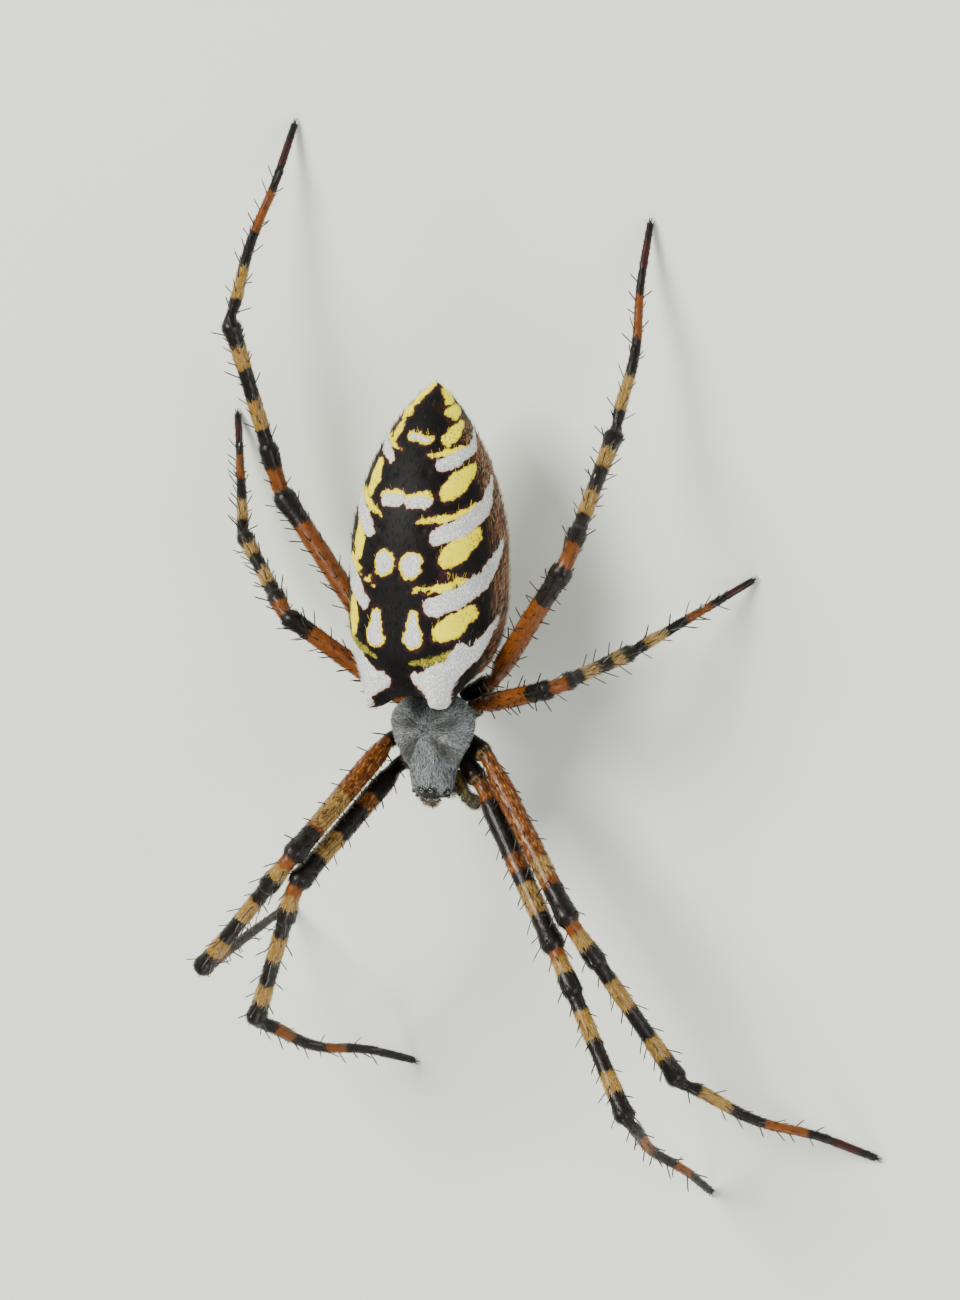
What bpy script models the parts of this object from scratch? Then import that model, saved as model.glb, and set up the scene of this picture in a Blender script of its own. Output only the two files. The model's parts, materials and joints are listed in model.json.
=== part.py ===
"""Garden spider, adult female, as a still life-size model standing on the tips of its eight legs.

Frame: +X is the spider's left, +Y points to the tail, +Z is up, and the floor is z = 0.
The origin is moved at the end to the middle of the model's box, at the floor.
"""
import math

import bmesh
import bpy
from mathutils import Matrix, Vector

MM = 0.001

# Gaps between neighbouring pieces.
CUT = 0.10 * MM
SOCKET_GAP = 0.03 * MM

# Carapace: a low dome over the front body, one station per row.
# Each row is the place along Y, the half width and the height of the crest.
CARAPACE_STATIONS = (
    (1.25, 0.90, 7.15),
    (0.90, 1.70, 7.55),
    (0.35, 2.40, 8.00),
    (-0.35, 2.66, 8.35),
    (-1.20, 2.50, 8.60),
    (-2.10, 2.10, 8.70),
    (-2.90, 1.62, 8.66),
    (-3.60, 1.36, 8.58),
    (-4.20, 1.27, 8.38),
    (-4.62, 1.12, 8.05),
    (-4.86, 0.86, 7.70),
)
CARAPACE_FLOOR = 6.74 * MM
CARAPACE_RIM = 7.20 * MM
CARAPACE_TUCK = 0.86
# How full the arch is (1 is round), how much of a low end's height is arch, and how soon the
# underside is flat.
CARAPACE_FULLNESS = 0.85
CARAPACE_LOW_ARCH = 0.3
CARAPACE_FLATNESS = 2.2
CARAPACE_SIDES = 26

# Sternum: the plate between the coxae, with the lip at its front.
STERNUM_STATIONS = (
    (1.30, 0.35),
    (0.75, 0.62),
    (-0.40, 0.76),
    (-1.50, 0.68),
    (-2.40, 0.52),
    (-3.30, 0.42),
)
STERNUM_LOW = 5.15 * MM
STERNUM_HIGH = 6.62 * MM
STERNUM_SIDES = 12
STERNUM_SQUARENESS = 0.6

# Pedicel: the narrow waist between the front body and the abdomen.
PEDICEL_START = Vector((0.0, 1.40, 6.70)) * MM
PEDICEL_END = Vector((0.0, 1.72, 6.68)) * MM
PEDICEL_RADIUS = 0.36 * MM

# Abdomen: a long egg, blunt in front with two humps on its shoulders, pointed behind.
ABDOMEN_FRONT_Y = 1.62 * MM
ABDOMEN_TAIL_Y = 19.20 * MM
ABDOMEN_HALF_WIDTH = 4.66 * MM
ABDOMEN_RISE = 4.15 * MM
ABDOMEN_DEPTH = 4.25 * MM
ABDOMEN_AXIS_Z = 7.80 * MM
ABDOMEN_TAIL_DROP = 0.90 * MM
ABDOMEN_WIDEST = 0.40
# How the girth falls away from the widest place to each end, as the two powers of
# (1 - place ** first) ** second. The back stays full to the shoulders and the belly tapers early.
FLANK_FRONT = (3.2, 0.36)
BACK_FRONT = (6.0, 0.26)
BELLY_FRONT = (2.0, 0.50)
ABDOMEN_REAR = (2.0, 0.80)
# Forward lean of the front end, and how square its shoulders are (1 is round).
ABDOMEN_FRONT_SLANT = 0.24
SHOULDER_POWER = 0.62
ABDOMEN_SIDES = 28
ABDOMEN_FRONT_RINGS = 8
ABDOMEN_REAR_RINGS = 13
HUMP_X = 2.10 * MM
HUMP_Y = 1.85 * MM
HUMP_REACH = 0.80 * MM
HUMP_PUSH = Vector((0.0, -1.15, 0.70)) * MM

# Spinnerets: a low cone of short fingers under the rear of the abdomen.
SPINNERET_SHARE = 0.77
SPINNERET_STRETCH = 0.02
SPINNERET_LENGTH = 1.15 * MM
SPINNERET_RADII = ((0.0, 0.66), (0.35, 0.62), (0.75, 0.42), (1.0, 0.22))

# Chelicerae: the stout upright jaws below the head, each with its fang folded in.
CHELICERA_TOP = Vector((0.47, -4.25, 6.62)) * MM
CHELICERA_TIP = Vector((0.40, -4.62, 4.55)) * MM
CHELICERA_RADIUS = 0.42 * MM
CHELICERA_PROFILE = ((0.0, 0.85), (0.3, 1.0), (0.7, 0.9), (0.92, 0.6), (1.0, 0.3))

# Palps: the two short feelers beside the jaws.
PALP_PATH = (
    (0.68, -3.50, 5.60),
    (1.17, -4.12, 5.85),
    (1.32, -4.70, 5.88),
    (1.38, -5.06, 5.35),
    (1.34, -5.42, 4.10),
)
PALP_BEND = 0.2 * MM
PALP_RADII = ((0.0, 0.26), (0.35, 0.30), (0.6, 0.29), (0.8, 0.36), (0.93, 0.30), (1.0, 0.16))

# Eyes: name, place on the left side, and radius. Each is mirrored to the right side.
EYES = (
    ("eye_front_middle", (0.27, -4.87, 7.52), 0.150),
    ("eye_rear_middle", (0.29, -4.34, 8.26), 0.155),
    ("eye_front_side", (1.02, -4.76, 7.38), 0.115),
    ("eye_rear_side", (1.10, -4.47, 7.66), 0.125),
)

# Legs, front pair to rear pair: the length of each from the femur to the tip, and how the femur,
# patella, tibia, metatarsus and tarsus share it. The two front pairs are built alike, and so are
# the two rear pairs, whose femurs are longer and tibias shorter.
SEGMENTS = ("coxa", "femur", "patella", "tibia", "metatarsus", "tarsus")
LEG_REACH = {1: 34.5, 2: 35.0, 3: 23.5, 4: 36.5}
FRONT_SHARES = (0.335, 0.085, 0.235, 0.270, 0.075)
REAR_SHARES = (0.365, 0.080, 0.205, 0.270, 0.080)
LEG_RADIUS = {1: 0.62, 2: 0.62, 3: 0.54, 4: 0.59}
# Where the coxae of each pair start beside the sternum, on the left side.
COXA_START = {
    1: (1.02, -2.45, 5.85),
    2: (1.20, -1.35, 5.85),
    3: (1.22, -0.27, 5.90),
    4: (1.10, 0.92, 5.65),
}
# Where each coxa meets its femur. Every leg is held its own way, so the two sides differ.
COXA_END = {
    "left_1": (2.35, -4.00, 5.90),
    "left_2": (2.85, -2.45, 6.10),
    "left_3": (2.35, 0.50, 6.00),
    "left_4": (2.90, 1.80, 5.50),
    "right_1": (-2.58, -3.00, 6.20),
    "right_2": (-3.10, -1.55, 6.30),
    "right_3": (-2.40, 0.55, 6.10),
    "right_4": (-2.90, 1.85, 5.40),
}

# How each leg stands, as on a plan with spot heights: the heading of the femur and the height of
# the knee, the heading of the patella and tibia and the height of the ankle, and the heading of the
# metatarsus and tarsus, which come down to the floor. Headings are in degrees round +Z from +X, and
# heights in millimetres. The last value is how far the metatarsus bows to its right.
LEG_PLAN = {
    "left_1": (-56, 9.0, -60, 11.0, -86, 0.6),
    "left_2": (-54, 9.0, -60, 5.5, -24, 0.5),
    "left_3": (13, 11.0, 36, 5.0, 36, 0.0),
    "left_4": (43, 13.0, 92, 5.5, 91, 0.4),
    "right_1": (-110, 15.5, -120, 10.5, -30, 0.6),
    "right_2": (-107, 16.0, -137, 12.0, 88, 0.0),
    "right_3": (145, 7.5, 134, 4.5, 110, 0.0),
    "right_4": (128, 4.5, 103, 6.5, 84, -0.3),
}

# Radius along each segment, as a fraction of the leg's own radius.
SEGMENT_PROFILES = {
    "coxa": ((0.0, 0.72), (0.35, 0.92), (0.8, 1.0), (1.0, 0.86)),
    "femur": ((0.0, 0.80), (0.10, 0.98), (0.5, 1.0), (0.82, 0.96), (0.94, 1.04), (1.0, 0.94)),
    "patella": ((0.0, 0.86), (0.25, 0.80), (0.7, 0.98), (0.88, 0.98), (1.0, 0.88)),
    "tibia": ((0.0, 0.82), (0.15, 0.80), (0.5, 0.75), (0.82, 0.86), (0.95, 0.90), (1.0, 0.82)),
    "metatarsus": ((0.0, 0.70), (0.12, 0.66), (0.35, 0.56), (0.7, 0.48), (1.0, 0.44)),
    "tarsus": ((0.0, 0.43), (0.5, 0.42), (1.0, 0.37)),
}
SEGMENT_RINGS = {"coxa": 5, "femur": 8, "patella": 6, "tibia": 8, "foot": 12}
LEG_SIDES = 10
FOOT_SIDES = 8
TIP_HEIGHT = 0.24 * MM
TIP_PAD = 0.21 * MM
TIP_REACH = 0.12 * MM
PATH_STEPS = 12
# The radius at each joint, as a fraction of the leg's own, which sets how wide its bend is.
JOINT_THICKNESS = (1.0, 0.9, 1.0, 0.9, 0.8, 0.45, 0.4)
SHORTEST_BEND = 0.3 * MM
BEND_ALLOWANCE = 1.15


def clear_scene():
    """Remove every object of the file the script runs in."""
    for item in list(bpy.data.objects):
        bpy.data.objects.remove(item, do_unlink=True)


def make_collection(name):
    """Add a collection to the scene."""
    collection = bpy.data.collections.new(name)
    bpy.context.scene.collection.children.link(collection)
    return collection


def make_material(name, colour, roughness, metallic=0.0):
    """A plain Principled material."""
    material = bpy.data.materials.new(name)
    material.use_nodes = True
    shader = material.node_tree.nodes["Principled BSDF"]
    shader.inputs["Base Color"].default_value = (*colour, 1.0)
    shader.inputs["Roughness"].default_value = roughness
    shader.inputs["Metallic"].default_value = metallic
    return material


def read_profile(points, place):
    """The value at a place along a list of (place, value) points, eased between them."""
    for (start, low), (end, high) in zip(points, points[1:]):
        if place <= end:
            share = (place - start) / (end - start)
            eased = share * share * (3 - 2 * share)
            return low + (high - low) * eased
    return points[-1][1]


def add_object(name, mesh, collection, material):
    """Link a mesh as a named object, shaded smooth apart from its sharp edges."""
    mesh.materials.append(material)
    mesh.shade_smooth()
    mesh.set_sharp_from_angle(angle=math.radians(40))
    item = bpy.data.objects.new(name, mesh)
    collection.objects.link(item)
    return item


def loft(name, rings):
    """A closed mesh through rings of equal length, with each open end filled by one face."""
    shape = bmesh.new()
    rows = [[shape.verts.new(point) for point in ring] for ring in rings]
    for near, far in zip(rows, rows[1:]):
        for index in range(len(near)):
            after = (index + 1) % len(near)
            shape.faces.new((near[index], near[after], far[after], far[index]))
    shape.faces.new(list(reversed(rows[0])))
    shape.faces.new(rows[-1])
    bmesh.ops.triangulate(shape, faces=[face for face in shape.faces if len(face.verts) > 4])
    bmesh.ops.recalc_face_normals(shape, faces=shape.faces)
    mesh = bpy.data.meshes.new(name)
    shape.to_mesh(mesh)
    shape.free()
    return mesh


def bend_reach(turn, radius):
    """How far a rounded bend runs to each side of its corner, so that the tube doesn't fold."""
    half = turn / 2
    return max(SHORTEST_BEND, BEND_ALLOWANCE * radius * math.sin(half) / math.cos(half) ** 2)


def rounded_path(corners, radii, bows=None):
    """Points along a path with rounded corners, and the index of the middle of each bend.

    A bow is a sideways bulge of one straight stretch.
    """
    bows = bows or {}
    points = [corners[0]]
    marks = [0]
    for index in range(1, len(corners) - 1):
        before, corner, after = corners[index - 1], corners[index], corners[index + 1]
        inward = (corner - before).normalized()
        outward = (after - corner).normalized()
        reach = bend_reach(inward.angle(outward), radii[index])
        start = corner - inward * reach
        end = corner + outward * reach
        add_straight(points, start, bows.get(index - 1))
        for step in range(1, PATH_STEPS + 1):
            share = step / PATH_STEPS
            points.append(start.lerp(corner, share).lerp(corner.lerp(end, share), share))
            if step == PATH_STEPS // 2:
                marks.append(len(points) - 1)
    add_straight(points, corners[-1], bows.get(len(corners) - 2))
    marks.append(len(points) - 1)
    return points, marks


def add_straight(points, end, bow=None):
    """Continue a path to a point, straight or with a bulge in the middle."""
    start = points[-1]
    for step in range(1, PATH_STEPS + 1):
        share = step / PATH_STEPS
        point = start.lerp(end, share)
        if bow is not None:
            point = point + bow * math.sin(math.pi * share) ** 2
        points.append(point)


def path_lengths(points):
    """The distance along a path at each of its points."""
    lengths = [0.0]
    for near, far in zip(points, points[1:]):
        lengths.append(lengths[-1] + (far - near).length)
    return lengths


def point_at(points, lengths, distance):
    """The place and the direction at a distance along a path."""
    for index in range(1, len(points)):
        if distance <= lengths[index] or index == len(points) - 1:
            span = lengths[index] - lengths[index - 1]
            share = (distance - lengths[index - 1]) / span
            before = points[max(index - 2, 0)]
            after = points[min(index + 1, len(points) - 1)]
            return points[index - 1].lerp(points[index], share), (after - before).normalized()


def ring_round(centre, direction, side, radius, count):
    """A ring of points round a centre, square to a direction."""
    across = (side - direction * side.dot(direction)).normalized()
    up = direction.cross(across)
    ring = []
    for index in range(count):
        angle = 2 * math.pi * index / count
        ring.append(centre + (across * math.cos(angle) + up * math.sin(angle)) * radius)
    return ring, across


def tube_rings(points, lengths, start, end, radius_at, count, sides):
    """Rings along a stretch of a path, each turned as little as possible from the one before."""
    rings = []
    side = Vector((0.0, 0.0, 1.0))
    for index in range(count):
        share = index / (count - 1)
        centre, direction = point_at(points, lengths, start + (end - start) * share)
        if abs(side.dot(direction)) > 0.98:
            side = Vector((1.0, 0.0, 0.0))
        ring, side = ring_round(centre, direction, side, radius_at(share), sides)
        rings.append(ring)
    return rings


def build_carapace(collection, material):
    """The dome over the front body, flat below."""
    rings = []
    for along, half_width, crest in CARAPACE_STATIONS:
        ring = []
        for index in range(CARAPACE_SIDES):
            angle = 2 * math.pi * index / CARAPACE_SIDES
            ring.append(carapace_point(along * MM, half_width * MM, crest * MM, angle))
        rings.append(ring)
    return add_object("carapace", loft("carapace", rings), collection, material)


def carapace_point(along, half_width, crest, angle):
    """One point of a carapace section: a low arch above the rim and a tucked-in, flat underside."""
    across = math.cos(angle)
    upward = math.sin(angle)
    if upward >= 0:
        rise = crest - CARAPACE_RIM if crest > CARAPACE_RIM else CARAPACE_LOW_ARCH * (crest - CARAPACE_FLOOR)
        rim = crest - rise
        arch = math.copysign(abs(across) ** CARAPACE_FULLNESS, across)
        return Vector((half_width * arch, along, rim + rise * upward ** CARAPACE_FULLNESS))
    rim = min(CARAPACE_RIM, crest - CARAPACE_LOW_ARCH * (crest - CARAPACE_FLOOR))
    depth = min(1.0, -CARAPACE_FLATNESS * upward)
    tuck = 1 - (1 - CARAPACE_TUCK) * depth
    return Vector((half_width * across * tuck, along, rim + (CARAPACE_FLOOR - rim) * depth))


def cut_eye_sockets(carapace, collection):
    """Cut a shallow cup into the carapace for each eye."""
    cutters = bmesh.new()
    for _, place, radius in EYES:
        for side in (1, -1):
            centre = Vector((place[0] * side, place[1], place[2])) * MM
            found = bmesh.ops.create_uvsphere(
                cutters, u_segments=12, v_segments=7, radius=radius * MM + SOCKET_GAP)
            bmesh.ops.translate(cutters, verts=found["verts"], vec=centre)
    mesh = bpy.data.meshes.new("eye_sockets")
    cutters.to_mesh(mesh)
    cutters.free()
    cutter = bpy.data.objects.new("eye_sockets", mesh)
    cutter.hide_render = True
    cutter.display_type = "WIRE"
    collection.objects.link(cutter)
    cut = carapace.modifiers.new("eye_sockets", "BOOLEAN")
    cut.operation = "DIFFERENCE"
    cut.object = cutter


def build_eyes(collection, material):
    """Eight small domed eyes, each seated in its socket."""
    for name, place, radius in EYES:
        for side, suffix in ((1, "left"), (-1, "right")):
            shape = bmesh.new()
            bmesh.ops.create_uvsphere(shape, u_segments=10, v_segments=6, radius=radius * MM)
            centre = Vector((place[0] * side, place[1], place[2])) * MM
            bmesh.ops.translate(shape, verts=shape.verts, vec=centre)
            mesh = bpy.data.meshes.new(name)
            shape.to_mesh(mesh)
            shape.free()
            add_object(f"{name}_{suffix}", mesh, collection, material)


def build_sternum(collection, material):
    """The underside plate, with rounded corners, narrowing forward into the lip."""
    middle = (STERNUM_LOW + STERNUM_HIGH) / 2
    half_height = (STERNUM_HIGH - STERNUM_LOW) / 2
    rings = []
    for along, half_width in STERNUM_STATIONS:
        ring = []
        for index in range(STERNUM_SIDES):
            angle = 2 * math.pi * index / STERNUM_SIDES
            across = math.copysign(abs(math.cos(angle)) ** STERNUM_SQUARENESS, math.cos(angle))
            upward = math.copysign(abs(math.sin(angle)) ** STERNUM_SQUARENESS, math.sin(angle))
            ring.append(Vector((half_width * MM * across, along * MM, middle + half_height * upward)))
        rings.append(ring)
    add_object("sternum", loft("sternum", rings), collection, material)


def build_tube(name, points, radii, rings, sides, collection, material):
    """A tube along a path whose radius follows a list of (place, millimetres) points."""
    lengths = path_lengths(points)
    shape = tube_rings(points, lengths, 0.0, lengths[-1],
                       lambda share: read_profile(radii, share) * MM, rings, sides)
    return add_object(name, loft(name, shape), collection, material)


def build_pedicel(collection, material):
    """The waist."""
    radius = PEDICEL_RADIUS / MM
    radii = ((0.0, radius), (0.5, radius * 0.85), (1.0, radius))
    build_tube("pedicel", [PEDICEL_START, PEDICEL_END], radii, 3, 10, collection, material)


def abdomen_section(share, front):
    """The abdomen's girth at a share of its length, as a fraction of the largest."""
    if share < ABDOMEN_WIDEST:
        place = (ABDOMEN_WIDEST - share) / ABDOMEN_WIDEST
        first, second = front
    else:
        place = (share - ABDOMEN_WIDEST) / (1 - ABDOMEN_WIDEST)
        first, second = ABDOMEN_REAR
    return max(0.0, 1 - place ** first) ** second


def abdomen_shares():
    """Shares of the length where the abdomen has a ring, closer together at both ends."""
    shares = []
    first, second = FLANK_FRONT
    for index in range(1, ABDOMEN_FRONT_RINGS):
        width = math.sin(math.pi / 2 * index / ABDOMEN_FRONT_RINGS)
        forward = (1 - width ** (1 / second)) ** (1 / first)
        shares.append(ABDOMEN_WIDEST * (1 - forward))
    for index in range(ABDOMEN_REAR_RINGS):
        rearward = math.sin(math.pi / 2 * index / ABDOMEN_REAR_RINGS)
        shares.append(ABDOMEN_WIDEST + (1 - ABDOMEN_WIDEST) * rearward)
    return shares


def abdomen_point(share, angle):
    """One point of the abdomen's surface, with the shoulder humps."""
    across = math.cos(angle)
    upward = math.sin(angle)
    forward = max(0.0, 1 - share / ABDOMEN_WIDEST)
    rearward = max(0.0, (share - ABDOMEN_WIDEST) / (1 - ABDOMEN_WIDEST))
    axis = ABDOMEN_AXIS_Z - ABDOMEN_TAIL_DROP * rearward ** 2
    if upward > 0:
        squareness = 1 - (1 - SHOULDER_POWER) * forward
        across = math.copysign(abs(across) ** squareness, across)
        rise = ABDOMEN_RISE * abdomen_section(share, BACK_FRONT) * upward ** squareness
    else:
        rise = ABDOMEN_DEPTH * abdomen_section(share, BELLY_FRONT) * upward
    slant = ABDOMEN_FRONT_SLANT * forward ** 2
    along = ABDOMEN_FRONT_Y + (ABDOMEN_TAIL_Y - ABDOMEN_FRONT_Y) * share - slant * rise
    half_width = ABDOMEN_HALF_WIDTH * abdomen_section(share, FLANK_FRONT)
    point = Vector((half_width * across, along, axis + rise))
    if upward > 0:
        off_x = abs(point.x) - HUMP_X
        off_y = point.y - HUMP_Y
        nearness = math.exp(-(off_x ** 2 + off_y ** 2) / HUMP_REACH ** 2)
        point += HUMP_PUSH * nearness * min(1.0, upward * 2)
    return point


def build_abdomen(collection, material):
    """The abdomen as one closed egg."""
    turns = [2 * math.pi * index / ABDOMEN_SIDES for index in range(ABDOMEN_SIDES)]
    rings = [[abdomen_point(share, turn) for turn in turns] for share in abdomen_shares()]
    shape = bmesh.new()
    rows = [[shape.verts.new(point) for point in ring] for ring in rings]
    for near, far in zip(rows, rows[1:]):
        for index in range(ABDOMEN_SIDES):
            after = (index + 1) % ABDOMEN_SIDES
            shape.faces.new((near[index], near[after], far[after], far[index]))
    for row, share in ((rows[0], 0.0), (rows[-1], 1.0)):
        pole = shape.verts.new(abdomen_point(share, 0.0))
        for index in range(ABDOMEN_SIDES):
            shape.faces.new((row[index], row[(index + 1) % ABDOMEN_SIDES], pole))
    bmesh.ops.recalc_face_normals(shape, faces=shape.faces)
    mesh = bpy.data.meshes.new("abdomen")
    shape.to_mesh(mesh)
    shape.free()
    add_object("abdomen", mesh, collection, material)


def build_spinnerets(collection, material):
    """The spinning organ below the tail end, a short blunt cone square to the belly."""
    belly = -math.pi / 2
    ahead = abdomen_point(SPINNERET_SHARE - SPINNERET_STRETCH, belly)
    behind = abdomen_point(SPINNERET_SHARE + SPINNERET_STRETCH, belly)
    along = (behind - ahead).normalized()
    outward = Vector((0.0, along.z, -along.y))
    start = abdomen_point(SPINNERET_SHARE, belly) + outward * CUT
    end = start + outward * SPINNERET_LENGTH
    build_tube("spinnerets", [start, start.lerp(end, 0.5), end], SPINNERET_RADII, 6, 12,
               collection, material)


def build_chelicerae(collection, material):
    """The pair of jaws."""
    radius = CHELICERA_RADIUS / MM
    radii = [(place, radius * fraction) for place, fraction in CHELICERA_PROFILE]
    for side, suffix in ((1, "left"), (-1, "right")):
        flip = Vector((side, 1, 1))
        middle = CHELICERA_TOP.lerp(CHELICERA_TIP, 0.5)
        points = [CHELICERA_TOP * flip, middle * flip, CHELICERA_TIP * flip]
        build_tube(f"chelicera_{suffix}", points, radii, 7, 12, collection, material)


def build_palps(collection, material):
    """The pair of feelers, bent down at the end."""
    for side, suffix in ((1, "left"), (-1, "right")):
        corners = [Vector((x * side, y, z)) * MM for x, y, z in PALP_PATH]
        points, _ = rounded_path(corners, [PALP_BEND] * len(corners))
        build_tube(f"palp_{suffix}", points, PALP_RADII, 14, 10, collection, material)


def reach_to(start, heading, height, length):
    """The far end of a straight stretch of this length, on this heading, that ends at this height."""
    climb = height - start.z
    run = math.sqrt(length ** 2 - climb ** 2)
    turn = math.radians(heading)
    return Vector((start.x + math.cos(turn) * run, start.y + math.sin(turn) * run, height))


def leg_corners(name, pair, side):
    """The joints of one leg from the coxa's start to the tip, worked out from its plan.

    The leg bends at the knee and the ankle. The patella goes on in line with the tibia, and the
    tarsus in line with the metatarsus.
    """
    shares = FRONT_SHARES if pair <= 2 else REAR_SHARES
    femur, patella, tibia, metatarsus, tarsus = (LEG_REACH[pair] * MM * share for share in shares)
    femur_heading, knee_height, shin_heading, ankle_height, foot_heading, _ = LEG_PLAN[name]
    root = Vector(COXA_START[pair]) * MM * Vector((side, 1, 1))
    hip = Vector(COXA_END[name]) * MM
    knee = reach_to(hip, femur_heading, knee_height * MM, femur)
    ankle = reach_to(knee, shin_heading, ankle_height * MM, patella + tibia)
    tip = reach_to(ankle, foot_heading, TIP_HEIGHT, metatarsus + tarsus)
    patella_end = knee.lerp(ankle, patella / (patella + tibia))
    metatarsus_end = ankle.lerp(tip, metatarsus / (metatarsus + tarsus))
    return [root, hip, knee, patella_end, ankle, metatarsus_end, tip]


def build_leg(name, collection, materials):
    """One leg: coxa, femur, patella, tibia and foot, parted by thin cuts at the joints."""
    side_name, number = name.split("_")
    pair = int(number)
    side = 1 if side_name == "left" else -1
    corners = leg_corners(name, pair, side)
    radius = LEG_RADIUS[pair] * MM
    foot_heading, bow = LEG_PLAN[name][-2:]
    turn = math.radians(foot_heading)
    bulge = Vector((math.sin(turn), -math.cos(turn), 0.0)) * bow * MM
    thickness = [radius * fraction for fraction in JOINT_THICKNESS]
    points, marks = rounded_path(corners, thickness, {4: bulge})
    lengths = path_lengths(points)
    cuts = [lengths[mark] for mark in marks]
    label = f"leg_{name}"
    for index, segment in enumerate(SEGMENTS[:4]):
        start = cuts[index] + (CUT / 2 if index else 0.0)
        end = cuts[index + 1] - CUT / 2
        profile = SEGMENT_PROFILES[segment]
        rings = tube_rings(points, lengths, start, end,
                           lambda share, profile=profile: read_profile(profile, share) * radius,
                           SEGMENT_RINGS[segment], LEG_SIDES)
        node = f"{label}_{segment}"
        add_object(node, loft(node, rings), collection, materials[segment])
    build_foot(f"{label}_foot", points, lengths, cuts, radius, collection, materials["foot"])


def build_foot(node, points, lengths, cuts, radius, collection, material):
    """Metatarsus and tarsus in one piece, ending in a small flat on the floor."""
    start, middle, end = cuts[4] + CUT / 2, cuts[5], cuts[6]

    def radius_at(share):
        distance = start + (end - start) * share
        if distance <= middle:
            place = (distance - start) / (middle - start)
            return read_profile(SEGMENT_PROFILES["metatarsus"], place) * radius
        place = (distance - middle) / (end - middle)
        return read_profile(SEGMENT_PROFILES["tarsus"], place) * radius

    rings = tube_rings(points, lengths, start, end, radius_at, SEGMENT_RINGS["foot"], FOOT_SIDES)
    tip, direction = point_at(points, lengths, lengths[-1])
    upright = direction.rotation_difference(Vector((0.0, 0.0, -1.0)))
    centre = Vector((tip.x + direction.x * TIP_REACH, tip.y + direction.y * TIP_REACH, 0.0))
    rings.append([centre + (upright @ (point - tip)).normalized() * TIP_PAD for point in rings[-1]])
    add_object(node, loft(node, rings), collection, material)


def centre_on_origin(collections):
    """Slide every mesh so that the origin is the middle of the model's box, on the floor."""
    items = [item for collection in collections for item in collection.objects]
    points = [vertex.co for item in items for vertex in item.data.vertices]
    across = [point.x for point in points]
    along = [point.y for point in points]
    middle = Vector((min(across) + max(across), min(along) + max(along), 0.0)) / 2
    for item in items:
        item.data.transform(Matrix.Translation(-middle))


def main():
    """Build the spider and stand it on the origin."""
    clear_scene()
    spider = make_collection("garden_spider")
    cutters = make_collection("cutters")
    silver_hair = make_material("silver_hair", (0.52, 0.53, 0.52), 0.55)
    dark_shell = make_material("dark_shell", (0.04, 0.03, 0.025), 0.35)
    abdomen_skin = make_material("abdomen_skin", (0.35, 0.30, 0.08), 0.45)
    leg_orange = make_material("leg_orange", (0.45, 0.16, 0.03), 0.35)
    leg_black = make_material("leg_black", (0.02, 0.018, 0.016), 0.30)
    leg_band = make_material("leg_band", (0.50, 0.30, 0.10), 0.45)
    eye_black = make_material("eye_black", (0.01, 0.01, 0.01), 0.08)
    palp_olive = make_material("palp_olive", (0.25, 0.22, 0.06), 0.40)

    carapace = build_carapace(spider, silver_hair)
    cut_eye_sockets(carapace, cutters)
    build_eyes(spider, eye_black)
    build_sternum(spider, dark_shell)
    build_pedicel(spider, dark_shell)
    build_abdomen(spider, abdomen_skin)
    build_spinnerets(spider, dark_shell)
    build_chelicerae(spider, dark_shell)
    build_palps(spider, palp_olive)
    leg_materials = {
        "coxa": leg_black,
        "femur": leg_orange,
        "patella": leg_band,
        "tibia": leg_band,
        "foot": leg_black,
    }
    for name in LEG_PLAN:
        build_leg(name, spider, leg_materials)
    centre_on_origin([spider, cutters])


main()
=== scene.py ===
# %% [markdown]
# # A garden spider at life size
#
# A yellow garden spider, the kind that sits head down in a wheel web, modelled as a museum would
# keep it: still, in its resting pose, on its feet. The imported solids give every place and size.
# This lesson puts skin, markings, eyes, claws and hair on them, and writes down why each is made
# as it is. Lengths are in metres, with MM to write them in millimetres.

import json
import math

import bmesh
import bpy
import numpy as np
from mathutils import Matrix, Vector

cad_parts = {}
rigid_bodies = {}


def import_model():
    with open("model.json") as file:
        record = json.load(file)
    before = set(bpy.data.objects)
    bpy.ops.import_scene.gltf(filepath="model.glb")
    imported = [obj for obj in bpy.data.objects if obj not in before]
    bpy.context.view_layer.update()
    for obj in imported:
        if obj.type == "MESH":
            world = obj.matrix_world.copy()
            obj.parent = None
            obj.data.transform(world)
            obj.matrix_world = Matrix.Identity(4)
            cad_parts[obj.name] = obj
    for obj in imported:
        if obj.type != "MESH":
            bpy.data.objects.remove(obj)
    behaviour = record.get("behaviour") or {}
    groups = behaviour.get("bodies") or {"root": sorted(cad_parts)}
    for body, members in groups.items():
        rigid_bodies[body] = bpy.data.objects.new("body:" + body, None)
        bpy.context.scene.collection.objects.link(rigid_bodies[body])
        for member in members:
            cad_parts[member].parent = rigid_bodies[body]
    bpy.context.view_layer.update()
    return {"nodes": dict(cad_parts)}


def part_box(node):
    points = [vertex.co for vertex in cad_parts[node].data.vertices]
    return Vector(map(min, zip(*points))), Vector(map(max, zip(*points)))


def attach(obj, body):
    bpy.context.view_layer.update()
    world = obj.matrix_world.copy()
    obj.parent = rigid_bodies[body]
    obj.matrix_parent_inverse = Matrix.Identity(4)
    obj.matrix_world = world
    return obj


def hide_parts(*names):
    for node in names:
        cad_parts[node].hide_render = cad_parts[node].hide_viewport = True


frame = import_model()
MM = 0.001
solids = frame["nodes"]

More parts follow.
